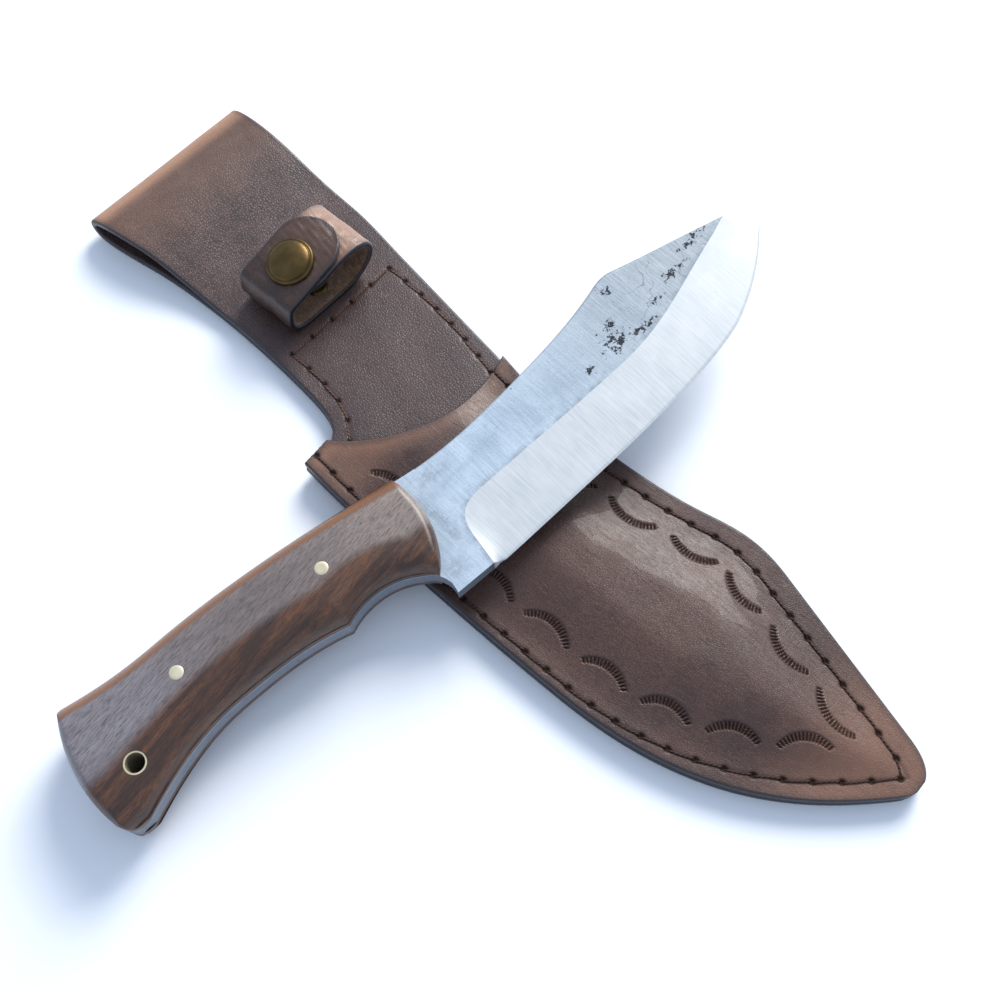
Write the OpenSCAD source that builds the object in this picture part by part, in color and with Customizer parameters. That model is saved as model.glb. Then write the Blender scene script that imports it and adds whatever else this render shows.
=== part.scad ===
// Fixed-blade camp knife lying across its own leather belt sheath.
// X runs along the sheath from the belt fold to the tip, Z is up, and the
// origin is on the ground under the middle of the whole object.

/* [Leather] */
// Thickness of the back and front plies of the sheath
ply = 2.4; // [2.2:0.1:2.6]
// Thickness of the welt between the two plies of the pocket
welt_t = 1.4; // [1.2:0.1:1.6]
// Height of the pocket's crown above the ground
pocket_h = 11.9; // [11.6:0.1:12.4]
// Thickness of the retaining strap
strap_t = 2.2; // [2:0.1:2.3]
// Width of the retaining strap
strap_w = 23; // [20:0.5:24]

/* [Stitching] */
// Distance from one stitch hole to the next
stitch_pitch = 7.9; // [6:0.1:10]
// Radius of the waxed thread
thread_r = 0.45; // [0.35:0.05:0.5]

/* [Snap] */
// Diameter of the domed snap cap
snap_cap_d = 15; // [13:0.5:16]
// Height of the cap's dome
snap_cap_h = 3.2; // [2.5:0.1:3.5]

/* [Knife] */
// Thickness of the steel blank
steel_t = 5; // [4:0.1:5]
// Thickness of each handle scale at the butt
scale_t = 8; // [7:0.1:8]
// Thickness of each handle scale at its front end
scale_front_t = 6.2; // [5.5:0.1:6.5]
// Diameter of the two handle pins
pin_d = 4; // [3:0.1:5]
// Outer diameter of the lanyard tube
tube_d = 6.35; // [6:0.05:7]
// Diameter of the hole through the lanyard tube
tube_bore_d = 5.2; // [4.5:0.1:5.4]

/* [Hidden] */
$fn = 48;
eps = 0.01;

leather_dark = [0.30, 0.20, 0.17];
leather_tan = [0.38, 0.28, 0.25];
strap_tan = [0.55, 0.36, 0.26];
thread_tan = [0.36, 0.23, 0.15];
steel = [0.72, 0.76, 0.80];
walnut = [0.33, 0.21, 0.13];
brass = [0.72, 0.62, 0.36];
brass_dark = [0.45, 0.38, 0.20];

// ---- curves -------------------------------------------------------------

// Points of a cubic Bezier curve, without its last point
function bez(a, b, c, d, n = 10) = [
    for (i = [0 : n - 1]) let (t = i / n, q = 1 - t)
        a * q * q * q + b * 3 * t * q * q + c * 3 * t * t * q + d * t * t * t];

function joined(parts) = [for (p = parts) each p];
function clamped(x, lo, hi) = min(max(x, lo), hi);
function smooth(x) = let (t = clamped(x, 0, 1)) t * t * (3 - 2 * t);
function mix(a, b, t) = a * (1 - t) + b * t;
function reversed(p) = [for (i = [len(p) - 1 : -1 : 0]) p[i]];

// Unit normal on the left of a path at its point i
function left_of(p, i) =
    let (a = p[max(i - 1, 0)], b = p[min(i + 1, len(p) - 1)], d = (b - a) / norm(b - a))
    [-d[1], d[0]];

function shifted(p, dist) = [for (i = [0 : len(p) - 1]) p[i] + left_of(p, i) * dist];

// Outline of a sheet of thickness t bent along a path
function sheet(p, t) = concat(shifted(p, t / 2), reversed(shifted(p, -t / 2)));

// Length along a path up to each of its points, paired with x or y
function run_length(p, i = 0, sum = 0) =
    i >= len(p) ? [] :
    let (s = i == 0 ? 0 : sum + norm(p[i] - p[i - 1]))
    concat([s], run_length(p, i + 1, s));

// Points at equal steps along a path
function stepped(p, pitch) =
    let (s = run_length(p), total = s[len(s) - 1], n = round(total / pitch),
         tx = [for (i = [0 : len(p) - 1]) [s[i], p[i][0]]],
         ty = [for (i = [0 : len(p) - 1]) [s[i], p[i][1]]])
    [for (k = [0 : n]) let (d = min(k * total / n, total - eps)) [lookup(d, tx), lookup(d, ty)]];

// ---- sheath outline -----------------------------------------------------

tip = [155.6, 13];
wing_corner = [-37, -29.6];
notch = [-37.6, -19.8];
neck_right = [-20, 39];

right_edge = joined([
    [[-170, 51.7]],
    bez([-103, 51], [-90, 50.8], [-84, 49.2], [-70, 46.9]),
    [[-70, 46.9]],
    bez(neck_right, [0, 35.8], [30, 33.6], [55, 37.2]),
    bez([55, 37.2], [68, 39.1], [76, 43.5], [92, 38.6]),
    [[92, 38.6]],
    bez([146, 21.8], [151, 20.2], [155.5, 17.5], tip),
    [tip]]);
lower_edge = joined([
    bez(tip, [155.7, 10], [154.5, 8.2], [152.5, 6], 5),
    bez([152.5, 6], [135, -13], [113, -31.5], [66, -32.4], 16),
    bez([66, -32.4], [30, -33.2], [-10, -32.2], wing_corner, 12),
    [wing_corner]]);
neck_left = joined([
    bez(notch, [-39.5, -13.5], [-44, -11.6], [-58, -10.2]),
    bez([-58, -10.2], [-85, -7.6], [-112, -7.6], [-132, -10.8]),
    bez([-132, -10.8], [-142, -12.4], [-148, -13.2], [-157, -13.4]),
    [[-170, -13.5]]]);
mouth = joined([
    bez(notch, [-24, -11], [-13, 4], [-14.8, 22], 12),
    bez([-14.8, 22], [-15.5, 29], [-16.5, 34], [-17.6, 38.6], 5),
    [[-17.6, 38.6]]]);
sheath_outline = reversed(joined([right_edge, [for (i = [1 : len(lower_edge) - 1]) lower_edge[i]],
                                  neck_left]));

function right_y(x) = lookup(x, right_edge);
function lower_y(x) = lookup(x, lower_edge);

// ---- how the back ply lies ----------------------------------------------

contact_gap = 0.1;
tail_end = -24;
tail_side = 13;
tail_cut_x = 14;
lift_start = -2;
lift_end = -20;
neck_z = ply + contact_gap;
neck_top = neck_z + ply;

// The back ply rises over the folded tail as it leaves the pocket
function lift(x) = neck_z * smooth((lift_start - x) / (lift_start - lift_end));

fold_x = -155.3;
back_path = joined([
    [[170, ply / 2]],
    [for (x = [lift_start : -2 : lift_end]) [x, ply / 2 + lift(x)]],
    bez([-95, neck_z + ply / 2], [-116, neck_z + ply / 2], [-124, 10.8], [-140, 10.8]),
    bez([-140, 10.8], [-149, 10.8], [fold_x, 9], [fold_x, 5.2], 8),
    bez([fold_x, 5.2], [fold_x, 2], [-152.5, ply / 2], [-147, ply / 2], 8),
    [[-147, ply / 2], [tail_end, ply / 2]]]);

// ---- front panel --------------------------------------------------------

border = 6;
crown_run = 18;
glue = 0.06;
fine_cols = 16;
fine_share = 0.19;
wide_cols = 28;
panel_cols = fine_cols + wide_cols;

function border_top(x) = 2 * ply + welt_t + lift(x) + 2 * glue;
function edge_gap(x, y) = min(right_y(x) - y, y - lower_y(x));
function panel_top(x, y) = let (b = border_top(x))
    mix(b, pocket_h, smooth((edge_gap(x, y) - border) / crown_run));

// Left end of the panel: the wing's straight edge, then the curved mouth
panel_left = joined([[wing_corner, mix(wing_corner, notch, 0.33), mix(wing_corner, notch, 0.67)], mouth]);
panel_rows = [for (p = panel_left)
    clamped((p[1] - lower_y(p[0])) / (right_y(p[0]) - lower_y(p[0])), 0, 1)];
row_count = len(panel_left);

// Columns stand closer together where the back ply rises, and towards the tip
function column_share(i) = i < fine_cols
    ? fine_share * i / fine_cols
    : mix(fine_share, 1, 1 - pow(1 - (i - fine_cols) / wide_cols, 1.5));

function panel_point(i, j) =
    let (s = column_share(i),
         x = mix(panel_left[j][0], tip[0] - 0.3, s),
         y = mix(lower_y(x), right_y(x), j == 0 ? 0 : j == row_count - 1 ? 1 : panel_rows[j]))
    [x, y, panel_top(x, y)];

// ---- stitch lines -------------------------------------------------------

pocket_stitch = joined([
    bez([-17, 32.6], [5, 29.8], [34, 28.6], [57, 31.8]),
    bez([57, 31.8], [68, 33.4], [76, 37], [90, 31.8]),
    bez([90, 31.8], [112, 25.6], [132, 19.4], [151.4, 12.6]),
    bez([151.4, 12], [132, -9], [108, -29.6], [64, -29.6], 16),
    bez([64, -29.6], [30, -30], [-10, -28.6], [-36, -25.5]),
    [[-36, -25.5]]]);
thread_gap = 0.2;
neck_row_x = -69.5;
neck_stitch = joined([
    bez([-17.5, 32.8], [-32, 36.8], [-46, 40.2], [neck_row_x, 40.4]),
    bez([neck_row_x, 40.4], [neck_row_x, 30], [neck_row_x, 8], [neck_row_x, -4]),
    bez([neck_row_x, -4], [-55, -4.6], [-42, -4.6], [-33.5, -14.5]),
    [[-33.5, -14.5]]]);

// ---- retaining strap (y, z) ---------------------------------------------

strap_x = -84.6;
strap_hinge = [2.2, 16.4];
strap_mid = strap_t / 2;
base_z = neck_top + contact_gap / 2 + strap_mid;
leaf_gap = 0.5;
hinge_clear = 0.62;
knuckle_over = 0.16;
bulge_top = [28.5, 21.1];
leaf_bend = [14.5, 18.15];
leaf_end = [5, 15.6];

inner_leaf = joined([
    bez(bulge_top, [23.5, 21.1], [19, 19.35], leaf_bend),
    [leaf_bend, leaf_end]]);
right_bulge = joined([
    bez([25, base_z], [31, base_z], [37.2, 10.5], [37.2, 15.2]),
    bez([37.2, 15.2], [37.2, 19], [33.5, 21.1], bulge_top)]);
left_bulge = bez(strap_hinge, [1.2, 12.5], [0.2, base_z], [9, base_z]);
strap_path = joined([left_bulge, [[9, base_z]], right_bulge, inner_leaf]);

// The outer leaf lies on the inner one, a ply and a gap above it
over_leaf = shifted(joined([
    [for (i = [15 : 19]) right_bulge[i]],
    [for (i = [0 : 9]) inner_leaf[i]],
    [leaf_bend, mix(leaf_bend, leaf_end, 0.5)]]), -(strap_t + leaf_gap));
flap_heel = over_leaf[len(over_leaf) - 1];
flap_path = joined([
    [for (i = [0 : len(over_leaf) - 2]) over_leaf[i]],
    bez(flap_heel, [5.6, 18.3], [2.7, 18.7], strap_hinge),
    [strap_hinge]]);
leaf_tilt = atan((leaf_bend[1] - leaf_end[1]) / (leaf_bend[0] - leaf_end[0]));
flap_round_y = 19.5;
leaf_round_y = 17.5;
leaf_cut_y = 4.2;
leaf_cut_h = 12;

// ---- snap, along its own tilted axis, measured from the outer leaf's middle

snap_mid = [leaf_bend[0] - (strap_t + leaf_gap) * sin(leaf_tilt),
            leaf_bend[1] + (strap_t + leaf_gap) * cos(leaf_tilt)];
post_r = 1.6;
post_gap = 0.08;
socket_r = 5;
recess = 1.2;
socket_top = -strap_mid + recess - 0.05;
socket_low = -1.7;
stud_flange_top = -2.05;
inner_mid = -(strap_t + leaf_gap);
stud_flange_low = inner_mid + strap_mid - recess + 0.2;
knob_r = 2.6;
knob_top = -0.95;
socket_cup_r = 3.2;
socket_cup_top = -0.55;
eyelet_r = 4.2;
eyelet_t = 0.5;

// ---- rivet that holds the strap's base ----------------------------------

rivet_at = [-80.6, 18.5];
rivet_ring_r = 3.65;
rivet_barrel_r = 2.2;
rivet_bore_r = 1.7;
rivet_head_h = 1;
washer_r = 4.4;
washer_t = 0.5;
strap_base_top = base_z + strap_mid;

// ---- knife, in its own frame: u along it, v across, w up ----------------

knife_at = [-10, -131.6, 8.15];
knife_angle = 86;
knife_tilt = 3.4;
steel_mid = steel_t / 2;
edge_half = 0.2;

spine_front = [111.4, 6];
spine_end = [247, -0.75];
point = [258.6, -5.8];
heel = [119.2, -33.4];
plunge_foot = [115.3, -32.4];
spike = [102.2, -31.6];
butt_top = [3.4, 19.6];
butt_low = [3.5, -19.6];
groove_end = [97.5, -20.5];
scale_foot = [101.9, -24.6];

handle_upper = joined([
    bez(butt_top, [10, 18.2], [18, 16.2], [32, 16]),
    bez([32, 16], [55, 15.8], [80, 12.2], spine_front),
    [spine_front]]);
handle_lower = joined([
    bez(butt_low, [14, -15.6], [25, -11.9], [38, -12.2]),
    bez([38, -12.2], [50, -12.6], [62, -13.2], [74.6, -17.6]),
    bez([74.6, -17.6], [82, -14.6], [91, -15.6], groove_end),
    bez(groove_end, [99.6, -22], [101.2, -23.2], scale_foot, 4),
    [scale_foot]]);
butt_edge = joined([
    bez(butt_low, [0, -20.6], [-2.6, -19.4], [-3.6, -16.4], 5),
    bez([-3.6, -16.4], [-6, -4], [-3.5, 9], butt_top, 10),
    [butt_top]]);
scale_front = joined([
    bez(scale_foot, [111, -17], [114, -4], spine_front, 15),
    [spine_front]]);
spike_curve = bez(scale_foot, [103, -27], [103.2, -29], spike, 4);
blade_spine = joined([
    bez(spine_front, [122, 3.6], [135, 3], [150, 3.9]),
    bez([150, 3.9], [172, 5.2], [186, 6.6], [200, 10.4]),
    bez([200, 10.4], [203, 11.2], [206, 11], [209, 9.9], 5),
    bez([209, 9.9], [222, 5.9], [235, 3], spine_end, 6)]);
grind_line = joined([
    [plunge_foot, [116.2, -27.4]],
    bez([117, -22.5], [118.4, -15], [121.5, -13.1], [130, -13.4], 6),
    bez([130, -13.4], [150, -13.8], [165, -14.5], [185, -14.5], 6),
    bez([185, -14.5], [205, -14.5], [215, -9.5], [240, -3], 8),
    [[240, -3]]]);
tip_line = bez(spine_end, [251, -2], [255, -3.6], [258, -5.2], 5);
bevel_root = joined([grind_line, tip_line, [[258, -5.2]]]);
bevel_edge_curve = joined([
    [[117.2, -32.9], heel],
    [for (i = [1 : 5]) mix(heel, [165, -33.8], i / 6)],
    bez([165, -33.8], [190, -33.6], [209, -32.6], [222, -29.2], 10),
    bez([222, -29.2], [240, -23], [252, -12.5], point, 14),
    [point]]);

// Edge point that faces each point of the bevel's root
root_run = run_length(bevel_root);
edge_run = run_length(bevel_edge_curve);
edge_xs = [for (i = [0 : len(edge_run) - 1]) [edge_run[i], bevel_edge_curve[i][0]]];
edge_ys = [for (i = [0 : len(edge_run) - 1]) [edge_run[i], bevel_edge_curve[i][1]]];
plunge_run = root_run[6];
plunge_share = 0.06;
root_last = len(bevel_root) - 1;
edge_total = edge_run[len(edge_run) - 1];
function edge_share(i) = i <= 6
    ? plunge_share * root_run[i] / plunge_run
    : mix(plunge_share, 1, (root_run[i] - plunge_run) / (root_run[root_last] - plunge_run));
bevel_edge = [for (i = [0 : root_last])
    let (d = min(edge_share(i) * edge_total, edge_total - eps)) [lookup(d, edge_xs), lookup(d, edge_ys)]];

// Half thickness of the steel along the bevel's root, thinning to the point
function root_half(i) = let (g = len(grind_line), n = root_last - g)
    i < g ? steel_mid : mix(steel_mid, 0.4, (i - g) / n);

// Outline of the blank outside the bevel, from the plunge to the spine's end
blank_outline = joined([
    [plunge_foot],
    [spike],
    reversed([for (i = [1 : len(spike_curve) - 1]) spike_curve[i]]),
    reversed(handle_lower),
    [for (i = [1 : len(butt_edge) - 1]) butt_edge[i]],
    [for (i = [1 : len(handle_upper) - 1]) handle_upper[i]],
    [for (i = [1 : len(blade_spine) - 1]) blade_spine[i]],
    [spine_end]]);

front_pin_at = [79.1, -2.2];
rear_pin_at = [32.5, 3.1];
tube_at = [10, -8];
fit_gap = 0.02;
drill = 30;
pin_sunk = 0.1;
tube_share = 0.96;

// Scale surface: full height in the middle, rolled over towards its rim
scale_cols = 34;
scale_rows = 15;
roll = 9.5;
function upper_v(u) = lookup(u, handle_upper);
function lower_v(u) = lookup(u, handle_lower);
function eased(i, n) = (1 - cos(180 * i / n)) / 2;
function crown(q) = let (r = 1 - clamped(q, 0, 1)) sqrt(1 - r * r * r);
function scale_full(u) = mix(scale_t, scale_front_t, smooth((u - 70) / 40));
function scale_height(u, v, from_butt, from_front) =
    let (d = min(v - lower_v(u), upper_v(u) - v, from_butt * 2.2 + 1, from_front * 2.6 + 0.6))
    scale_full(u) * crown(max(d, 0.25) / roll);
function scale_point(i, j) =
    let (t = j / scale_rows, s = eased(i, scale_cols),
         b = butt_edge[j], f = scale_front[j],
         u = mix(b[0], f[0], s),
         b_share = (b[1] - butt_low[1]) / (butt_top[1] - butt_low[1]),
         f_share = (f[1] - lower_v(f[0])) / (upper_v(f[0]) - lower_v(f[0])),
         share = mix(b_share, f_share, smooth(s)),
         v = mix(lower_v(u), upper_v(u), j == 0 ? 0 : j == scale_rows ? 1 : share))
    [u, v, scale_height(u, v, u - b[0], f[0] - u)];

// ---- shared shape modules -----------------------------------------------

// Closed solid between two grids of points of the same layout
module grid_solid(top, low, rows) {
    n = len(top);
    cols = n / rows;
    function at(i, j) = i * rows + j;
    faces = joined([
        [for (i = [0 : cols - 2], j = [0 : rows - 2])
            each [[at(i, j), at(i, j + 1), at(i + 1, j + 1)],
                  [at(i, j), at(i + 1, j + 1), at(i + 1, j)]]],
        [for (i = [0 : cols - 2], j = [0 : rows - 2])
            each [[n + at(i, j), n + at(i + 1, j + 1), n + at(i, j + 1)],
                  [n + at(i, j), n + at(i + 1, j), n + at(i + 1, j + 1)]]],
        [for (i = [0 : cols - 2], j = [0, rows - 1])
            each let (a = at(i, j), b = at(i + 1, j))
                j == 0 ? [[a, b, n + b], [a, n + b, n + a]] : [[a, n + b, b], [a, n + a, n + b]]],
        [for (i = [0, cols - 1], j = [0 : rows - 2])
            each let (a = at(i, j), b = at(i, j + 1))
                i == 0 ? [[a, n + b, b], [a, n + a, n + b]] : [[a, b, n + b], [a, n + b, n + a]]]]);
    polyhedron(points = concat(top, low), faces = faces, convexity = 6);
}

module along_y(profile, y0, y1) {
    translate([0, y1, 0]) rotate([90, 0, 0]) linear_extrude(y1 - y0) polygon(profile);
}

module along_x(x0, x1) {
    translate([x0, 0, 0]) rotate([90, 0, 90]) linear_extrude(x1 - x0) children();
}

// One stitch lying on the leather between two holes
module stitch(a, b) {
    d = b - a;
    reach = norm(d);
    inset = 0.08;
    translate(a) rotate([0, 0, atan2(d[1], d[0])]) rotate([0, 90 - asin(d[2] / reach), 0])
        translate([0, 0, reach * inset]) cylinder(h = reach * (1 - 2 * inset), r = thread_r, $fn = 16);
}

module on_snap_axis() {
    translate([strap_x, snap_mid[0], snap_mid[1]]) rotate([leaf_tilt, 0, 0]) children();
}

module ring(r_out, r_in, z0, z1) {
    translate([0, 0, z0]) difference() {
        cylinder(h = z1 - z0, r = r_out);
        translate([0, 0, -1]) cylinder(h = z1 - z0 + 2, r = r_in);
    }
}

module disc(r, z0, z1) {
    translate([0, 0, z0]) cylinder(h = z1 - z0, r = r);
}

module knife_frame() {
    translate(knife_at) rotate([0, 0, knife_angle]) rotate([0, -knife_tilt, 0]) children();
}

// ---- sheath -------------------------------------------------------------

module back_panel() {
    color(leather_dark) difference() {
        intersection() {
            along_y(sheet(back_path, ply), -60, 60);
            translate([0, 0, -1]) linear_extrude(30) polygon(sheath_outline);
        }
        // the tail is narrower than the pocket: cut its wing corner away
        translate([notch[0] - 2, -60, -1]) cube([tail_cut_x, 60 - tail_side, 1 + ply + contact_gap / 2 - 2 * eps]);
        translate([rivet_at[0], rivet_at[1], neck_z]) {
            disc(rivet_barrel_r + post_gap, -contact_gap / 2, ply + 1);
            disc(washer_r + post_gap, -contact_gap / 2, washer_t + 2 * post_gap);
        }
    }
}

welt_start = -16.2;
welt_end = -37;
welt_fine = 1.3;
welt_far = 0;
welt_steps = 64;
welt_upper = joined([
    bez([welt_start, 31], [5, 27.8], [34, 26.6], [57, 29.8]),
    bez([57, 29.8], [68, 31.4], [76, 34.6], [90, 29.6]),
    bez([90, 29.6], [110, 24], [126, 19], [144, 12])]);
welt_lower = joined([
    bez([144, 11], [128, -7], [104, -26.6], [64, -26.6], 12),
    bez([64, -26.6], [30, -27], [-10, -25.8], [-37.3, -22.4]),
    [[-37.3, -22.4]]]);
function past(p) = [for (q = p) if (q[0] > welt_far) q];
welt_inner = joined([
    [[welt_far, lookup(welt_far, welt_upper)]],
    past(welt_upper),
    past(welt_lower),
    [[welt_far, lookup(welt_far, welt_lower)]]]);
welt_side = joined([
    [[welt_far, right_y(welt_far)]],
    past(right_edge),
    past([for (i = [1 : len(lower_edge) - 1]) lower_edge[i]]),
    [[welt_far, lower_y(welt_far)]]]);

// Point a share of the way along a path
function point_at(p, share) =
    let (s = run_length(p), d = share * (s[len(s) - 1] - eps),
         xs = [for (i = [0 : len(p) - 1]) [s[i], p[i][0]]],
         ys = [for (i = [0 : len(p) - 1]) [s[i], p[i][1]]])
    [lookup(d, xs), lookup(d, ys)];

module welt() {
    flat = joined([
        [for (x = [welt_start : welt_fine : welt_far - 1]) each [[x, lookup(x, welt_upper)], [x, right_y(x)]]],
        [for (k = [0 : welt_steps], side = [welt_inner, welt_side]) point_at(side, k / welt_steps)],
        [for (x = [welt_far - 1 : -welt_fine : welt_end]) each [[x, lookup(x, welt_lower)], [x, lower_y(x)]]]]);
    low = [for (p = flat) [p[0], p[1], ply + lift(p[0]) + glue]];
    top = [for (p = low) p + [0, 0, welt_t]];
    color(leather_dark) grid_solid(top, low, 2);
}

module front_panel() {
    top = [for (i = [0 : panel_cols], j = [0 : row_count - 1]) panel_point(i, j)];
    low = [for (p = top) p - [0, 0, ply]];
    color(leather_tan) grid_solid(reversed(top), reversed(low), row_count);
}

module pocket_thread() {
    holes = [for (p = stepped(pocket_stitch, stitch_pitch))
        [p[0], p[1], panel_top(p[0], p[1]) + thread_r + thread_gap]];
    color(thread_tan) for (i = [0 : len(holes) - 2]) {
        m = (holes[i] + holes[i + 1]) / 2;
        rise = [0, 0, max(0, panel_top(m[0], m[1]) + thread_r + thread_gap - m[2])];
        stitch(holes[i] + rise, holes[i + 1] + rise);
    }
}

module neck_thread() {
    holes = [for (p = stepped(neck_stitch, stitch_pitch))
        [p[0], p[1], ply + lift(p[0]) + thread_r + thread_gap]];
    color(thread_tan) for (i = [0 : len(holes) - 2]) stitch(holes[i], holes[i + 1]);
}

module strap() {
    color(strap_tan) difference() {
        along_x(strap_x - strap_w / 2, strap_x + strap_w / 2) difference() {
            polygon(sheet(strap_path, strap_t));
            translate(strap_hinge) circle(r = strap_mid + hinge_clear);
        }
        // round end of the inner leaf
        translate([strap_x, leaf_round_y, strap_hinge[1] - 3]) difference() {
            translate([-strap_w, leaf_cut_y - leaf_round_y, 0])
                cube([2 * strap_w, leaf_round_y - leaf_cut_y, leaf_cut_h]);
            disc(strap_w / 2, -1, leaf_cut_h + 1);
        }
        on_snap_axis() {
            disc(post_r + post_gap, inner_mid - strap_t, 0);
            disc(socket_r + post_gap, inner_mid + strap_mid - recess + 0.1, 1);
        }
        translate([rivet_at[0], rivet_at[1], 0]) disc(rivet_barrel_r + post_gap, neck_top, strap_base_top + 1);
    }
}

module strap_rivet() {
    head = strap_base_top + contact_gap / 2;
    foot = neck_z + washer_t;
    color(brass) translate([rivet_at[0], rivet_at[1], 0]) {
        difference() {
            union() {
                disc(rivet_barrel_r, foot - washer_t + 0.05, head + 0.3);
                translate([0, 0, head]) cylinder(h = rivet_head_h, r1 = rivet_ring_r, r2 = rivet_ring_r - 0.6);
            }
            disc(rivet_bore_r, foot - 2, head + 5);
        }
    }
}

module rivet_washer() {
    color(brass_dark) translate([rivet_at[0], rivet_at[1], 0])
        ring(washer_r, rivet_barrel_r + post_gap, neck_z + post_gap, neck_z + washer_t + post_gap);
}

module snap_stud() {
    color(brass_dark) on_snap_axis() difference() {
        union() {
            disc(socket_r - 0.2, stud_flange_low, stud_flange_top);
            disc(knob_r - 0.35, stud_flange_top - 0.1, knob_top - 0.5);
            translate([0, 0, knob_top - 0.7]) cylinder(h = 0.7, r1 = knob_r, r2 = knob_r - 0.3);
        }
        disc(post_r + post_gap, stud_flange_low - 1, knob_top + 1);
    }
}

module stud_eyelet() {
    low = inner_mid - strap_mid - post_gap;
    color(brass) on_snap_axis() difference() {
        union() {
            translate([0, 0, low - eyelet_t]) cylinder(h = eyelet_t, r1 = eyelet_r - 0.3, r2 = eyelet_r);
            disc(post_r, low - 0.2, knob_top - 0.05);
        }
        disc(post_r - 0.4, low - 2, knob_top + 1);
    }
}

module strap_flap() {
    color(strap_tan) difference() {
        intersection() {
            union() {
                along_x(strap_x - strap_w / 2, strap_x + strap_w / 2) polygon(sheet(flap_path, strap_t));
                translate([strap_x - strap_w / 2, strap_hinge[0], strap_hinge[1]]) rotate([0, 90, 0])
                    cylinder(h = strap_w, r = strap_mid + knuckle_over);
            }
            translate([strap_x, 0, 0]) linear_extrude(40) union() {
                translate([-strap_w / 2, -5]) square([strap_w, flap_round_y + 5]);
                translate([0, flap_round_y]) circle(r = strap_w / 2, $fn = 64);
            }
        }
        on_snap_axis() {
            disc(post_r + post_gap, -strap_t, strap_t);
            disc(socket_r + post_gap, -3, -strap_mid + recess);
        }
    }
}

module snap_cap() {
    rim = strap_mid + post_gap;
    dome_r = (pow(snap_cap_d / 2, 2) + pow(snap_cap_h - 0.9, 2)) / (2 * (snap_cap_h - 0.9));
    color(brass_dark) on_snap_axis() union() {
        intersection() {
            disc(snap_cap_d / 2, rim, rim + snap_cap_h + 1);
            translate([0, 0, rim + snap_cap_h - dome_r]) sphere(r = dome_r, $fn = 96);
        }
        disc(post_r, socket_cup_top + 0.25, rim + 0.1);
    }
}

module snap_socket() {
    color(brass_dark) on_snap_axis() difference() {
        disc(socket_r, socket_low, socket_top);
        disc(socket_cup_r, socket_low - 1, socket_cup_top);
        disc(post_r + post_gap, socket_cup_top - 1, socket_top + 1);
    }
}

// ---- knife --------------------------------------------------------------

module tang_holes() {
    for (p = [front_pin_at, rear_pin_at]) translate([p[0], p[1], 0]) disc(pin_d / 2 + fit_gap, -drill, drill);
    translate([tube_at[0], tube_at[1], 0]) disc(tube_d / 2 + fit_gap, -drill, drill);
}

// Full-thickness steel, up to the grind line
module blank() {
    linear_extrude(steel_t) polygon(concat(blank_outline,
        reversed([for (i = [1 : len(grind_line) - 1]) grind_line[i]])));
}

// Steel that thins from the grind line to the edge, the same on both faces
module bevel() {
    function level(side) = [for (i = [0 : root_last], at_root = [1, 0])
        at_root == 1
            ? [bevel_root[i][0], bevel_root[i][1], steel_mid + side * root_half(i)]
            : [bevel_edge[i][0], bevel_edge[i][1], steel_mid + side * edge_half]];
    grid_solid(level(-1), level(1), 2);
}

module blade() {
    color(steel) knife_frame() difference() {
        union() {
            blank();
            bevel();
        }
        tang_holes();
    }
}

module scale_solid() {
    top = [for (i = [0 : scale_cols], j = [0 : scale_rows]) scale_point(i, j)];
    low = [for (p = top) [p[0], p[1], 0]];
    grid_solid(reversed(top), reversed(low), scale_rows + 1);
}

module scale_upper() {
    color(walnut) knife_frame() difference() {
        translate([0, 0, steel_t + eps]) scale_solid();
        tang_holes();
    }
}

module scale_lower() {
    color(walnut) knife_frame() difference() {
        translate([0, 0, -eps]) mirror([0, 0, 1]) scale_solid();
        tang_holes();
    }
}

module handle_pin(at) {
    reach = scale_full(at[0]) - pin_sunk;
    color(brass) knife_frame() translate([at[0], at[1], -reach])
        cylinder(h = steel_t + 2 * reach, r = pin_d / 2);
}

module front_pin() {
    handle_pin(front_pin_at);
}

module rear_pin() {
    handle_pin(rear_pin_at);
}

module lanyard_tube() {
    reach = scale_t * tube_share;
    color(brass) knife_frame() translate([tube_at[0], tube_at[1], 0])
        ring(tube_d / 2, tube_bore_d / 2, -reach, steel_t + reach);
}

back_panel();
welt();
front_panel();
pocket_thread();
neck_thread();
strap();
strap_rivet();
rivet_washer();
snap_stud();
stud_eyelet();
strap_flap();
snap_cap();
snap_socket();
blade();
scale_upper();
scale_lower();
front_pin();
rear_pin();
lanyard_tube();
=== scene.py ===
"""Looks for a camp knife lying across its own leather belt sheath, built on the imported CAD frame.

Shapes are worked out in millimetres, in the row frame or in the knife's own frame
(u along the knife, v across it, w up), and turned into metres when a mesh is made.
"""

import math

import bpy
import numpy as np
from mathutils import Matrix, Vector


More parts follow.
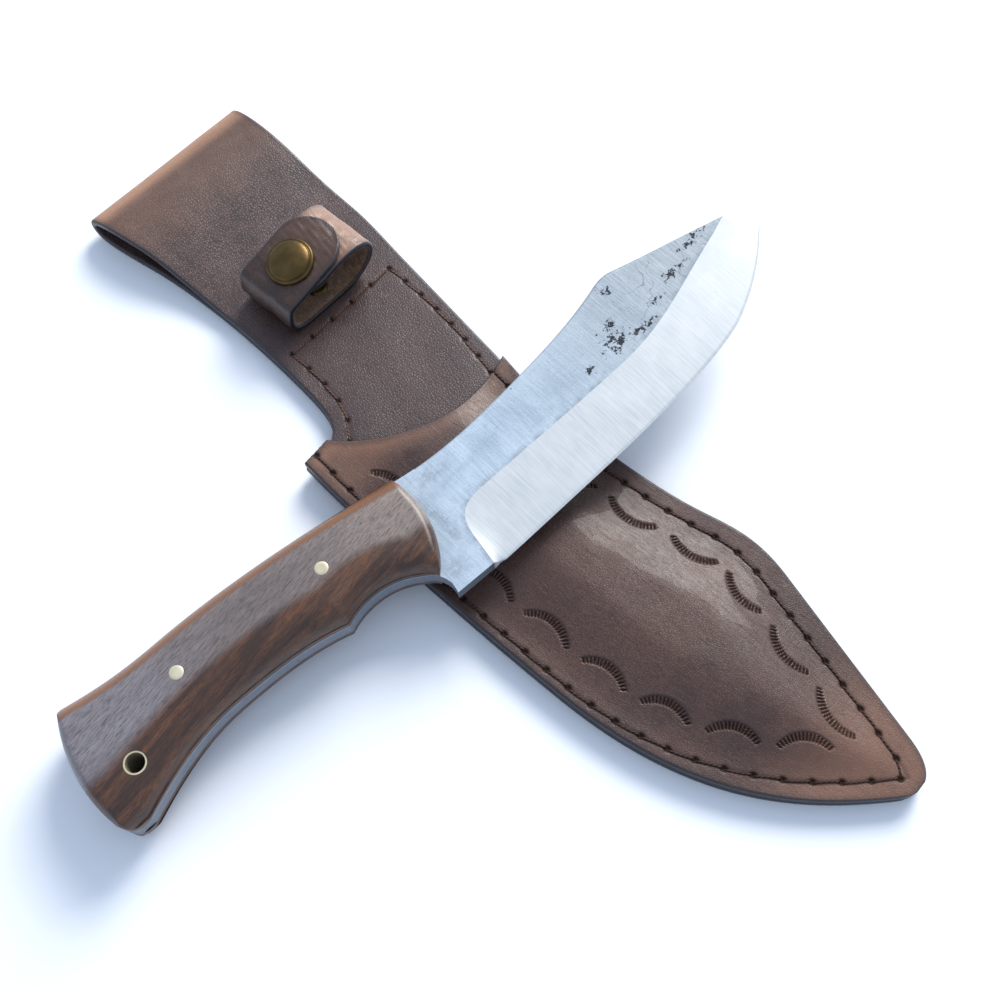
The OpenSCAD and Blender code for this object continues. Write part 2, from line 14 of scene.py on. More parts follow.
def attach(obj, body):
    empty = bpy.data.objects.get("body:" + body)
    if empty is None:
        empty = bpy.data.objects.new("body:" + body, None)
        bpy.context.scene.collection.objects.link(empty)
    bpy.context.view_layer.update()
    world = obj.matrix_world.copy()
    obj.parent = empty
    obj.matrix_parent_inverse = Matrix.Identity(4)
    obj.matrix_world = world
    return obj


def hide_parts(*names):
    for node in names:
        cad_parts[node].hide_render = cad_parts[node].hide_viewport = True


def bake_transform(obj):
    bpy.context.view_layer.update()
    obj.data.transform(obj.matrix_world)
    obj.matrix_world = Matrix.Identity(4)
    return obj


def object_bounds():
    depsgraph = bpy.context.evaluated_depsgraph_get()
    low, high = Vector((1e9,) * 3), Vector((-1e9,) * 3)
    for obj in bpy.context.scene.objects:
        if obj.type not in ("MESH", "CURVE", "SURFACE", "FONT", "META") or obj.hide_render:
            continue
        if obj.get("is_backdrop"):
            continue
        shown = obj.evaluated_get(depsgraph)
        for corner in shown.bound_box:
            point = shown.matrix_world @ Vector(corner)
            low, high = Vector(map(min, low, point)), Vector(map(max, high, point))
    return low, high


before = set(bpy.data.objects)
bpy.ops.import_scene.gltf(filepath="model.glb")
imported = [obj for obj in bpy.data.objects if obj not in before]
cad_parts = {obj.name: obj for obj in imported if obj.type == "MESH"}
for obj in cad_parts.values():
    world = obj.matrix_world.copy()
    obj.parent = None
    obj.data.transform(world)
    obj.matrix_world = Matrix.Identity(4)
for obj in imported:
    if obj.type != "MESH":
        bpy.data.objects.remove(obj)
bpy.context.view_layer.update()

MM = 0.001

# ---- driving sizes, the same as the CAD's, in mm ----------------------------

PLY = 2.4
WELT = 1.4
GLUE = 0.06
POCKET_H = 11.9
STRAP_T = 2.2
STRAP_W = 23.0
STITCH_PITCH = 7.9
THREAD_R = 0.34
STEEL_T = 5.0
SCALE_T = 8.0
SCALE_FRONT_T = 6.2
PIN_R = 2.0
TUBE_R = 3.175
TUBE_BORE_R = 2.6
NECK_Z = PLY + 0.1
NECK_TOP = NECK_Z + PLY

# ---- curves -----------------------------------------------------------------


def bez(a, b, c, d, n=24):
    """Points of a cubic Bezier curve, without its last point."""
    a, b, c, d = (np.array(p, float) for p in (a, b, c, d))
    t = np.linspace(0, 1, n, endpoint=False)[:, None]
    q = 1 - t
    return a * q**3 + 3 * b * t * q * q + 3 * c * t * t * q + d * t**3


def joined(*parts):
    return np.vstack([np.atleast_2d(np.asarray(p, float)) for p in parts])


def run_length(p):
    return np.concatenate([[0], np.cumsum(np.linalg.norm(np.diff(p, axis=0), axis=1))])


def along(p, distances):
    """Points at these distances along a path."""
    s = run_length(p)
    return np.stack([np.interp(distances, s, p[:, k]) for k in range(p.shape[1])], 1)


def resampled(p, n):
    return along(p, np.linspace(0, run_length(p)[-1], n))


def smooth(x):
    t = np.clip(x, 0, 1)
    return t * t * (3 - 2 * t)


def mix(a, b, t):
    return a * (1 - t) + b * t


def bell(x, height, width):
    return height * np.exp(-((x / width) ** 2))


def left_normals(p):
    d = np.empty_like(p)
    d[1:-1] = p[2:] - p[:-2]
    d[0], d[-1] = p[1] - p[0], p[-1] - p[-2]
    d /= np.linalg.norm(d, axis=1)[:, None]
    return np.stack([-d[:, 1], d[:, 0]], 1)


def shifted(p, distance):
    return p + left_normals(p) * distance


def distance_to(path, x, y):
    """Distance from each point to a path."""
    dense = resampled(path, int(run_length(path)[-1] / 0.4) + 2).astype(np.float32)
    points = np.stack([x.ravel(), y.ravel()], 1).astype(np.float32)
    best = []
    for chunk in np.array_split(points, max(1, len(points) // 4000)):
        best.append(np.sqrt(((chunk[:, None, :] - dense[None]) ** 2).sum(2).min(1)))
    return np.concatenate(best).reshape(x.shape)


def ripple(x, y, size, seed, terms=7):
    """Soft irregular waves between about -1 and 1, with features about this many mm across."""
    r = np.random.default_rng(seed)
    total = np.zeros_like(x, float)
    for _ in range(terms):
        angle, phase = r.uniform(0, 2 * math.pi, 2)
        k = 2 * math.pi / (size * r.uniform(0.7, 1.6))
        total += np.sin(k * (x * math.cos(angle) + y * math.sin(angle)) + phase)
    return total / terms * 1.6


# ---- the sheath's outline ---------------------------------------------------

TIP = (155.6, 13)
WING = (-37, -29.6)
NOTCH = (-37.6, -19.8)

right_edge = joined(
    (-170, 51.7),
    bez((-103, 51), (-90, 50.8), (-84, 49.2), (-70, 46.9)),
    bez((-70, 46.9), (-53.3, 44.3), (-36.7, 41.6), (-20, 39)),
    bez((-20, 39), (0, 35.8), (30, 33.6), (55, 37.2)),
    bez((55, 37.2), (68, 39.1), (76, 43.5), (92, 38.6)),
    bez((92, 38.6), (110, 33), (128, 27.4), (146, 21.8)),
    bez((146, 21.8), (151, 20.2), (155.5, 17.5), TIP),
    TIP,
)
lower_edge = joined(
    bez(TIP, (155.7, 10), (154.5, 8.2), (152.5, 6)),
    bez((152.5, 6), (135, -13), (113, -31.5), (66, -32.4), 40),
    bez((66, -32.4), (30, -33.2), (-10, -32.2), WING, 30),
    WING,
)
neck_left = joined(
    bez(NOTCH, (-39.5, -13.5), (-44, -11.6), (-58, -10.2)),
    bez((-58, -10.2), (-85, -7.6), (-112, -7.6), (-132, -10.8)),
    bez((-132, -10.8), (-142, -12.4), (-148, -13.2), (-157, -13.4)),
    (-170, -13.5),
)
mouth = joined(
    bez(NOTCH, (-24, -11), (-13, 4), (-14.8, 22)),
    bez((-14.8, 22), (-15.5, 29), (-16.5, 34), (-17.6, 38.6), 12),
    (-17.6, 38.6),
)


def right_y(x):
    return np.interp(x, np.maximum.accumulate(right_edge[:, 0]), right_edge[:, 1])


def lower_y(x):
    path = lower_edge[::-1]
    return np.interp(x, np.maximum.accumulate(path[:, 0]), path[:, 1])


def neck_y(x):
    path = neck_left[::-1]
    return np.interp(x, path[:, 0], path[:, 1])


LIFT_START, LIFT_END = -2.0, -20.0
FOLD_X = -155.3
TAIL_END = -24.0


def lift(x):
    return NECK_Z * smooth((LIFT_START - x) / (LIFT_START - LIFT_END))


BORDER, CROWN_RUN = 5.0, 26.0
RIDGE_SOFT = 4.0


def panel_top(x, y):
    to_right, to_lower = right_y(x) - y, y - lower_y(x)
    gap = -RIDGE_SOFT * np.logaddexp(-to_right / RIDGE_SOFT, -to_lower / RIDGE_SOFT)
    return mix(2 * PLY + WELT + 2 * GLUE + lift(x), POCKET_H, smooth((gap - BORDER) / CROWN_RUN))


pocket_stitch = joined(
    bez((-17, 32.6), (5, 29.8), (34, 28.6), (57, 31.8)),
    bez((57, 31.8), (68, 33.4), (76, 37), (90, 31.8)),
    bez((90, 31.8), (112, 25.6), (132, 19.4), (151.4, 12.6)),
    bez((151.4, 12), (132, -9), (108, -29.6), (64, -29.6), 40),
    bez((64, -29.6), (30, -30), (-10, -28.6), (-36, -25.5)),
    (-36, -25.5),
)
NECK_ROW_X = -69.5
NECK_CORNERS = ((NECK_ROW_X, 40.4), (NECK_ROW_X, -4))
neck_right = bez((-17.5, 32.8), (-32, 36.8), (-46, 40.2), NECK_CORNERS[0])
neck_far = np.array(NECK_CORNERS, float)
neck_lower = joined(bez(NECK_CORNERS[1], (-55, -4.6), (-42, -4.6), (-33.5, -14.5)), (-33.5, -14.5))
neck_stitch = joined(neck_right, neck_far, neck_lower)
NECK_ROWS = ((joined(neck_right, NECK_CORNERS[0]), 7), (neck_far, 5), (neck_lower, 5))


def stitch_holes(path, count=None):
    """Evenly spaced holes along a seam, with one at each end."""
    total = run_length(path)[-1]
    return along(path, np.linspace(0, total, (count or round(total / STITCH_PITCH)) + 1))


def hole_distance(holes, x, y):
    """Distance from each point to the nearest hole, and HOLE_FAR wherever that is more."""
    gap = np.full(x.shape, HOLE_FAR)
    for hole in holes:
        gap = np.minimum(gap, np.hypot(x - hole[0], y - hole[1]))
    return gap


HOLE_FAR = 9.0
pocket_holes = stitch_holes(pocket_stitch)
neck_holes = joined(*[stitch_holes(row, count)[:-1] for row, count in NECK_ROWS], neck_lower[-1])


# ---- the knife's outline ----------------------------------------------------

KNIFE_AT = np.array((-10, -131.6, 8.15))
KNIFE_TURN, KNIFE_TILT = math.radians(86), math.radians(3.4)
KNIFE_U = np.array(
    (
        math.cos(KNIFE_TURN) * math.cos(KNIFE_TILT),
        math.sin(KNIFE_TURN) * math.cos(KNIFE_TILT),
        math.sin(KNIFE_TILT),
    )
)
KNIFE_V = np.array((-math.sin(KNIFE_TURN), math.cos(KNIFE_TURN), 0))
KNIFE_W = np.cross(KNIFE_U, KNIFE_V)

SPINE_FRONT = (111.4, 6)
SPINE_END = (247, -0.75)
POINT = (258.6, -5.8)
HEEL = (119.2, -33.4)
PLUNGE_FOOT = (115.3, -32.4)
GRIND_END = (240, -3)
SPIKE = (102.2, -31.6)
BUTT_TOP = (3.4, 19.6)
BUTT_LOW = (3.5, -19.6)
GROOVE_END = (97.5, -20.5)
SCALE_FOOT = (101.9, -24.6)

handle_upper = joined(
    bez(BUTT_TOP, (10, 18.2), (18, 16.2), (32, 16)),
    bez((32, 16), (55, 15.8), (80, 12.2), SPINE_FRONT),
    SPINE_FRONT,
)
handle_lower = joined(
    bez(BUTT_LOW, (14, -15.6), (25, -11.9), (38, -12.2)),
    bez((38, -12.2), (50, -12.6), (62, -13.2), (74.6, -17.6)),
    bez((74.6, -17.6), (82, -14.6), (91, -15.6), GROOVE_END),
    bez(GROOVE_END, (99.6, -22), (101.2, -23.2), SCALE_FOOT, 8),
    SCALE_FOOT,
)
butt_edge = joined(
    bez(BUTT_LOW, (0, -20.6), (-2.6, -19.4), (-3.6, -16.4), 16),
    bez((-3.6, -16.4), (-6, -4), (-3.5, 9), BUTT_TOP, 30),
    BUTT_TOP,
)
scale_front = joined(bez(SCALE_FOOT, (111, -17), (114, -4), SPINE_FRONT, 40), SPINE_FRONT)
spike_curve = joined(bez(SCALE_FOOT, (103, -27), (103.2, -29), SPIKE, 10), SPIKE)
blade_spine = joined(
    bez(SPINE_FRONT, (122, 3.6), (135, 3), (150, 3.9)),
    bez((150, 3.9), (172, 5.2), (186, 6.6), (200, 10.4)),
    bez((200, 10.4), (203, 11.2), (206, 11), (209, 9.9), 12),
    bez((209, 9.9), (222, 5.9), (235, 3), SPINE_END),
    SPINE_END,
)
grind_line = joined(
    bez(PLUNGE_FOOT, (115.9, -29), (116.5, -25.8), (117, -22.5), 16),
    bez((117, -22.5), (118.4, -15), (121.5, -13.1), (130, -13.4), 30),
    bez((130, -13.4), (150, -13.8), (165, -14.5), (185, -14.5)),
    bez((185, -14.5), (205, -14.5), (215, -9.5), GRIND_END),
    GRIND_END,
)
tip_line = joined(bez(SPINE_END, (251, -2), (255, -3.6), (258, -5.2), 12), (258, -5.2))
bevel_edge = joined(
    (117.2, -32.9),
    HEEL,
    bez(HEEL, (134.5, -33.6), (149.7, -33.7), (165, -33.8), 12)[1:],
    bez((165, -33.8), (190, -33.6), (209, -32.6), (222, -29.2)),
    bez((222, -29.2), (240, -23), (252, -12.5), POINT, 40),
    POINT,
)
FRONT_PIN, REAR_PIN, TUBE_AT = (79.1, -2.2), (32.5, 3.1), (10, -8)


def from_knife(p):
    """Points in the knife's frame moved to the row frame."""
    return KNIFE_AT + p[:, :1] * KNIFE_U + p[:, 1:2] * KNIFE_V + p[:, 2:3] * KNIFE_W


# ---- meshes -----------------------------------------------------------------


def quads(rows, cols, base=0, close=False, flip=False):
    """Faces of a grid of points numbered row by row; close joins the last column to the first."""
    i, j = np.meshgrid(np.arange(rows - 1), np.arange(cols if close else cols - 1), indexing="ij")
    k = (j + 1) % cols
    a, b, c, d = i * cols + j, i * cols + k, (i + 1) * cols + k, (i + 1) * cols + j
    out = np.stack([a, d, c, b] if flip else [a, b, c, d], -1).reshape(-1, 4)
    return out + base


def border_ring(rows, cols):
    """Numbers of the points round a grid's border, starting along its first row."""
    last_col, last_row = cols - 1, (rows - 1) * cols
    sides = (
        np.arange(cols), np.arange(1, rows) * cols + last_col,
        last_row + np.arange(cols - 2, -1, -1), np.arange(rows - 2, 0, -1) * cols,
    )
    return np.concatenate(sides)


def piece(name, points, faces, material, slot, body=None, stands_for=(), sharp=None, **values):
    """A mesh from points in mm and four-cornered faces, with one attribute for each named value."""
    points = np.asarray(points, float)
    mesh = bpy.data.meshes.new(name)
    mesh.vertices.add(len(points))
    mesh.vertices.foreach_set("co", (points * MM).astype(np.float32).ravel())
    mesh.loops.add(faces.size)
    mesh.loops.foreach_set("vertex_index", faces.astype(np.int32).ravel())
    mesh.polygons.add(len(faces))
    mesh.polygons.foreach_set("loop_start", np.arange(0, faces.size, 4, dtype=np.int32))
    mesh.update(calc_edges=True)
    mesh.validate()
    for key, value in values.items():
        value = np.asarray(value, np.float32)
        kind = "FLOAT" if value.ndim == 1 else "FLOAT_VECTOR"
        field = mesh.attributes.new(key, kind, "POINT")
        field.data.foreach_set("value" if value.ndim == 1 else "vector", value.ravel())
    mesh.polygons.foreach_set("use_smooth", np.ones(len(mesh.polygons), bool))
    if sharp:
        mesh.set_sharp_from_angle(angle=math.radians(sharp))
    mesh.materials.append(material)
    obj = bpy.data.objects.new(name, mesh)
    bpy.context.scene.collection.objects.link(obj)
    if body:
        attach(obj, body)
    if stands_for:
        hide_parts(*stands_for)
    return obj


RIM_STEPS = np.array((0, 0.06, 0.16, 0.3, 0.5, 0.75, 1.05))
RIM_R = 0.75


def rim_drop(d):
    """How far a rounded rim lies below the face, at a distance in from the edge."""
    t = np.clip(d / RIM_R, 0, 1)
    return RIM_R * (1 - np.sqrt(np.clip(1 - (1 - t) ** 2, 0, 1)))


def spread(low, high, n):
    """Positions from low to high for each station, close together at both rims."""
    low, high = np.asarray(low)[:, None], np.asarray(high)[:, None]
    width = high - low
    inset = np.where(width > 8, RIM_STEPS, np.minimum(RIM_STEPS, width * 0.02))
    middle = np.linspace(0, 1, n)[None, 1:-1]
    start = low + inset[:, -1:]
    return np.hstack([low + inset, start + (width - 2 * inset[:, -1:]) * middle, high - inset[:, ::-1]])


def shares(length, n):
    """The same positions over one length, as shares of it."""
    return spread([0.0], [length], n)[0] / length


def ply(path, low, high, thickness, n_out, n_in):
    """A bent sheet with rounded rims: its ring of points at each station along the path.

    Returns place (stations, ring, 2) in the path's plane, across (stations, ring),
    the distance in from the rim, and +1 on the outside face and -1 on the inside."""
    normal = -left_normals(path)
    top, under = spread(low, high, n_out), spread(low, high, n_in)[:, ::-1]
    across = np.hstack([top, under])
    face = np.hstack([np.ones_like(top), -np.ones_like(under)])
    rim = np.minimum(across - np.asarray(low)[:, None], np.asarray(high)[:, None] - across)
    height = face * (thickness / 2 - rim_drop(rim))
    place = path[:, None, :] + normal[:, None, :] * height[..., None]
    return place, across, rim, face, normal


def closed_ends(points):
    """A grid of rings with one more ring at each end, drawn in to a point, which closes the sheet."""
    first, last = (np.broadcast_to(ring.mean(0), ring.shape)[None] for ring in (points[0], points[-1]))
    return np.concatenate([first, points, last])


def held(values):
    """Values on a grid of rings, held over the rings that closed_ends adds."""
    return np.concatenate([values[:1], values, values[-1:]]).ravel()


# ---- materials --------------------------------------------------------------


def rgb(r, g, b):
    """A display colour from 0 to 255 as the linear colour that a shader takes."""
    out = [(c / 255 / 12.92) if c <= 10 else ((c / 255 + 0.055) / 1.055) ** 2.4 for c in (r, g, b)]
    return (*out, 1.0)


class Finish:
    """A node-built material. Most of its methods add a node and return its output socket."""

    def __init__(self, name):
        self.material = bpy.data.materials.new(name)
        self.material.use_nodes = True
        self.tree = self.material.node_tree
        self.tree.nodes.clear()
        self.bsdf = self.tree.nodes.new("ShaderNodeBsdfPrincipled")
        out = self.tree.nodes.new("ShaderNodeOutputMaterial")
        self.tree.links.new(self.bsdf.outputs[0], out.inputs["Surface"])
        coords = self.tree.nodes.new("ShaderNodeTexCoord").outputs["Object"]
        scaled = self.tree.nodes.new("ShaderNodeVectorMath")
        scaled.operation = "SCALE"
        self.tree.links.new(coords, scaled.inputs[0])
        scaled.inputs["Scale"].default_value = 1 / MM
        self.mm = scaled.outputs[0]

    def feed(self, socket, value):
        if isinstance(value, bpy.types.NodeSocket):
            self.tree.links.new(value, socket)
        elif value is not None:
            socket.default_value = value

    def node(self, kind, inputs, out=0, **settings):
        n = self.tree.nodes.new("ShaderNode" + kind)
        for key, value in settings.items():
            setattr(n, key, value)
        for key, value in inputs.items():
            self.feed(n.inputs[key], value)
        return n.outputs[out]

    def set(self, **inputs):
        for key, value in inputs.items():
            self.feed(self.bsdf.inputs[key.replace("_", " ")], value)

    def value(self, name):
        return self.node("Attribute", {}, "Fac", attribute_name=name)

    def vector(self, name):
        return self.node("Attribute", {}, "Vector", attribute_name=name)

    def stretched(self, vector, scale, turn=(0, 0, 0)):
        return self.node("Mapping", {"Vector": vector, "Scale": scale, "Rotation": turn})

    def noise(self, vector, size, detail=4.0, rough=0.55, warp=0.0):
        """Noise with features about size units across."""
        shape = {"Scale": 1 / size, "Detail": detail, "Roughness": rough, "Distortion": warp}
        return self.node("TexNoise", {"Vector": vector, **shape}, "Fac")

    def cells(self, vector, size, feature="F1", out="Distance"):
        return self.node("TexVoronoi", {"Vector": vector, "Scale": 1 / size}, out, feature=feature)

    def calc(self, operation, a, b=None):
        return self.node("Math", {0: a, 1: b}, operation=operation)

    def times(self, a, b):
        return self.calc("MULTIPLY", a, b)

    def plus(self, a, b):
        return self.calc("ADD", a, b)

    def minus(self, a, b):
        return self.calc("SUBTRACT", a, b)

    def span(self, value, low, high, to_low=0.0, to_high=1.0):
        """The value eased from one range to another, and held at its ends."""
        inputs = {"Value": value, "From Min": low, "From Max": high, "To Min": to_low, "To Max": to_high}
        return self.node("MapRange", inputs, interpolation_type="SMOOTHSTEP", clamp=True)

    def blend(self, factor, a, b):
        return self.node("Mix", {0: factor, 6: a, 7: b}, 2, data_type="RGBA")

    def split(self, vector, axis):
        return self.node("SeparateXYZ", {0: vector}, axis)

    def relief(self, *layers):
        """Bump from (height, depth in mm) layers, added one on another."""
        normal = None
        for height, depth in layers:
            inputs = {"Height": height, "Distance": depth * MM, "Strength": 1.0, "Normal": normal}
            normal = self.node("Bump", inputs)
        self.feed(self.bsdf.inputs["Normal"], normal)


def leather(name, dark, mid, light, scuff, grain, grain_depth, gloss, creases=False):
    """Oiled leather: pebbled pores, cloudy colour, darker burnished rims, and darkened dents that are
    partly darker tooled leather and partly painted shade.

    It reads the attributes rim (mm in from the edge), sunk (darker tooled stamps, and painted shade in
    holes and seams), worn (wear, and on the strap a painted highlight) and tone (each 0 to 1)."""
    f = Finish(name)
    cloud = f.noise(f.mm, 24, 3, 0.5)
    mottle = f.noise(f.mm, 5, 4, 0.6)
    ridges = f.cells(f.mm, grain, "DISTANCE_TO_EDGE")
    fine = f.noise(f.mm, 0.4, 3, 0.6)
    color = f.blend(f.span(cloud, 0.3, 0.7), dark, mid)
    color = f.blend(f.span(mottle, 0.4, 0.8, 0, 0.4), color, light)
    color = f.blend(f.span(ridges, 0.0, 0.24, 0.9, 0.0), color, f.blend(0.35, dark, rgb(20, 14, 12)))
    color = f.blend(f.span(fine, 0.3, 0.6, 0.22, 0), color, rgb(36, 24, 20))
    pebbles = f.plus(f.times(f.span(ridges, 0.0, 0.3), 0.7), f.times(fine, 0.4))
    layers = [(pebbles, grain_depth), (mottle, 0.1)]
    if creases:
        turned = f.stretched(f.mm, (0.3, 1.2, 1.0), (0, 0, math.radians(-24)))
        lines = f.noise(turned, 1.6, 3, 0.5, 1.0)
        crease = f.span(f.calc("ABSOLUTE", f.minus(lines, 0.5)), 0.0, 0.035)
        layers.append((crease, 0.035))
        # Creases painted darker: painted shade in the creases.
        color = f.blend(f.span(crease, 0, 1, 0.3, 0), color, dark)
    # Darker where tone is set: painted shade by the mouth and beneath the knife.
    color = f.blend(f.times(f.value("tone"), 0.75), color, dark)
    worn = f.value("worn")
    streak = f.noise(f.stretched(f.mm, (1.0, 0.2, 1.0)), 3.0, 4, 0.6)
    # Lighter where worn is set: wear on the sheath, and a painted highlight on the strap's upper loop.
    color = f.blend(f.times(worn, f.span(streak, 0.1, 0.5, 0.6, 1.0)), color, scuff)
    # Darker where sunk is set: darker tooled stamps, and painted shade in stitch holes and seams.
    sunk = f.value("sunk")
    color = f.blend(f.times(sunk, 0.92), color, rgb(26, 16, 13))
    rim = f.value("rim")
    burnt = f.span(rim, 0.15, 0.55, 1, 0)
    color = f.blend(f.span(rim, 0.5, 2.8, 0.5, 0), color, rgb(46, 33, 34))
    color = f.blend(burnt, color, rgb(28, 25, 31))
    rough = f.plus(f.span(mottle, 0.3, 0.8, gloss - 0.05, gloss + 0.1), f.times(worn, 0.06))
    shine = f.span(sunk, 0.1, 0.7, 0.5, 0.08)
    coat = f.span(sunk, 0.1, 0.6, 0.1, 0.0)
    f.set(Base_Color=color, Roughness=rough, Specular_IOR_Level=shine, Coat_Weight=coat)
    f.relief(*layers)
    return f.material


def flesh(name, pale, deep):
    """The rough inner side of a hide, with short matted fibres."""
    f = Finish(name)
    fibres = f.noise(f.stretched(f.mm, (0.5, 1.4, 1.4)), 0.45, 5, 0.7, 1.2)
    clumps = f.noise(f.mm, 2.5, 3, 0.6)
    color = f.blend(f.span(fibres, 0.3, 0.7), deep, pale)
    color = f.blend(f.span(clumps, 0.35, 0.65, 0.5, 0), color, deep)
    rim = f.value("rim")
    color = f.blend(f.span(rim, 0.3, 0.8, 1, 0), color, rgb(52, 38, 34))
    f.set(Base_Color=color, Roughness=0.9, Specular_IOR_Level=0.2, Sheen_Weight=0.25, Sheen_Roughness=0.6)
    f.relief((fibres, 0.35), (clumps, 0.5))
    return f.material


def thread_finish(name, light, dark):
    f = Finish(name)
    twist = f.vector("twist")
    around, length = f.split(twist, "X"), f.split(twist, "Y")
    wave = f.calc("SINE", f.plus(f.times(length, 4.5), f.times(around, 2.0)))
    fuzz = f.noise(f.mm, 0.3, 3)
    # The twist's ridges painted lighter and its grooves darker: painted light and shade.
    color = f.blend(f.span(wave, -0.6, 0.6), dark, light)
    color = f.blend(f.span(fuzz, 0.35, 0.7, 0.35, 0), color, dark)
    f.set(Base_Color=color, Roughness=0.6, Specular_IOR_Level=0.3)
    f.relief((wave, 0.09), (fuzz, 0.05))
    return f.material


def steel_finish(name):
    """Forge skin with pits on the flats, whose pale blue is a painted reflection of the bluish sky, and a
    satin bevel brushed across the edge.

    It reads place (u, v, w in the knife's frame), bevel (0 or 1) and root (mm from the grind line)."""
    f = Finish(name)
    place = f.vector("place")
    u, v = f.split(place, "X"), f.split(place, "Y")
    bevel = f.value("bevel")
    root = f.value("root")
    hatch = f.noise(f.stretched(place, (2.2, 0.10, 0.3), (0, 0, math.radians(6))), 1.0, 3, 0.7)
    scratch = f.noise(f.stretched(place, (0.25, 3.0, 0.3), (0, 0, math.radians(-38))), 1.0, 2, 0.6)
    cloud = f.noise(place, 14, 4, 0.6, 0.8)
    speck = f.noise(place, 0.7, 4, 0.7)
    # Paler and bluer near the handle, greyer towards the tip: painted reflection, which changes along the
    # tilted blade.
    far = f.span(u, 130, 225)
    low_tone = f.blend(far, rgb(156, 172, 186), rgb(134, 143, 150))
    high_tone = f.blend(far, rgb(176, 190, 202), rgb(152, 160, 165))
    flat = f.blend(f.span(cloud, 0.35, 0.7), low_tone, high_tone)
    hatch_tone = f.blend(far, rgb(190, 202, 212), rgb(168, 175, 180))
    flat = f.blend(f.span(hatch, 0.38, 0.66, 0.0, 0.6), flat, hatch_tone)
    flat = f.blend(f.span(speck, 0.52, 0.75, 0.0, 0.4), flat, rgb(112, 122, 132))
    flat = f.blend(f.span(scratch, 0.62, 0.7, 0.0, 0.35), flat, rgb(124, 134, 144))

    def near(at_u, at_v, size_u, size_v):
        """1 at the middle of an oval spot, falling to 0 at its edge."""
        du = f.calc("DIVIDE", f.minus(u, at_u), size_u)
        dv = f.calc("DIVIDE", f.minus(v, at_v), size_v)
        r = f.calc("SQRT", f.plus(f.times(du, du), f.times(dv, dv)))
        return f.span(r, 0.15, 1.0, 1.0, 0.0)

    patches = [
        (190, -8, 9, 5), (178, -9.5, 3, 2.5), (200, -10.5, 9, 2), (209, -6.5, 6, 2),
        (201, 7, 3, 4), (221, -3.5, 10, 2.5), (234, 0.5, 9, 2.5), (193, -2.5, 4, 3),
    ]
    crowd = near(*patches[0])
    for patch in patches[1:]:
        crowd = f.calc("MAXIMUM", crowd, near(*patch))
    blots = f.noise(place, 1.5, 6, 0.7, 0.3)
    pits = f.span(f.plus(blots, f.times(crowd, 0.14)), 0.62, 0.655)
    pits = f.times(pits, f.span(crowd, 0.02, 0.25))
    chosen = f.span(f.split(f.cells(place, 4.5, "F1", out="Color"), "X"), 0.74, 0.78)
    dots = f.times(f.span(f.cells(place, 4.5, "F1"), 0.05, 0.09, 1, 0), chosen)
    pits = f.calc("MAXIMUM", pits, dots)
    contour = f.calc("ABSOLUTE", f.minus(f.noise(place, 12, 2, 0.4, 0.6), 0.5))
    loops = f.times(f.span(contour, 0.0, 0.008, 0.55, 0), f.span(u, 196, 206))
    flat = f.blend(loops, flat, rgb(70, 78, 88))
    smudge = f.calc("MAXIMUM", near(121, 0, 11, 5), near(113.5, -14, 2.6, 16))
    smudge = f.calc("MAXIMUM", smudge, near(107, -26, 5, 5))
    haze = f.times(smudge, f.span(f.noise(place, 3, 4, 0.7), 0.35, 0.65))
    flat = f.blend(f.times(haze, 0.4), flat, rgb(92, 100, 110))
    shade = f.times(f.span(root, 0, 2.2, 0.55, 0), f.span(f.noise(place, 4, 3), 0.35, 0.65))
    flat = f.blend(shade, flat, rgb(104, 112, 122))
    flat = f.blend(pits, flat, rgb(40, 44, 52))

    brush = f.noise(f.stretched(place, (3.2, 0.07, 0.2), (0, 0, math.radians(4))), 1.0, 3, 0.7)
    satin = f.blend(f.span(brush, 0.3, 0.7), rgb(180, 184, 186), rgb(200, 203, 203))
    satin = f.blend(f.span(f.noise(place, 9, 3), 0.4, 0.7, 0, 0.4), satin, rgb(208, 209, 208))
    off_bevel = f.minus(1.0, bevel)
    side_wall = f.times(f.span(f.split(place, "Z"), 4.6, 4.9, 0.75, 0), off_bevel)
    color = f.blend(bevel, flat, satin)
    color = f.blend(side_wall, color, rgb(92, 92, 100))
    rough = f.blend(bevel, f.span(speck, 0.3, 0.8, 0.46, 0.6), f.span(brush, 0.3, 0.7, 0.4, 0.5))
    rough = f.blend(pits, rough, (0.8, 0.8, 0.8, 1))
    metal = f.minus(f.span(bevel, 0, 1, 0.32, 0.14), f.times(pits, 0.14))
    f.set(Base_Color=color, Metallic=metal, Roughness=rough, Anisotropic=0.35)
    dents = f.times(off_bevel, f.minus(f.times(speck, 0.5), pits))
    fine = f.blend(bevel, hatch, brush)
    f.relief((dents, 0.10), (fine, 0.02))
    return f.material


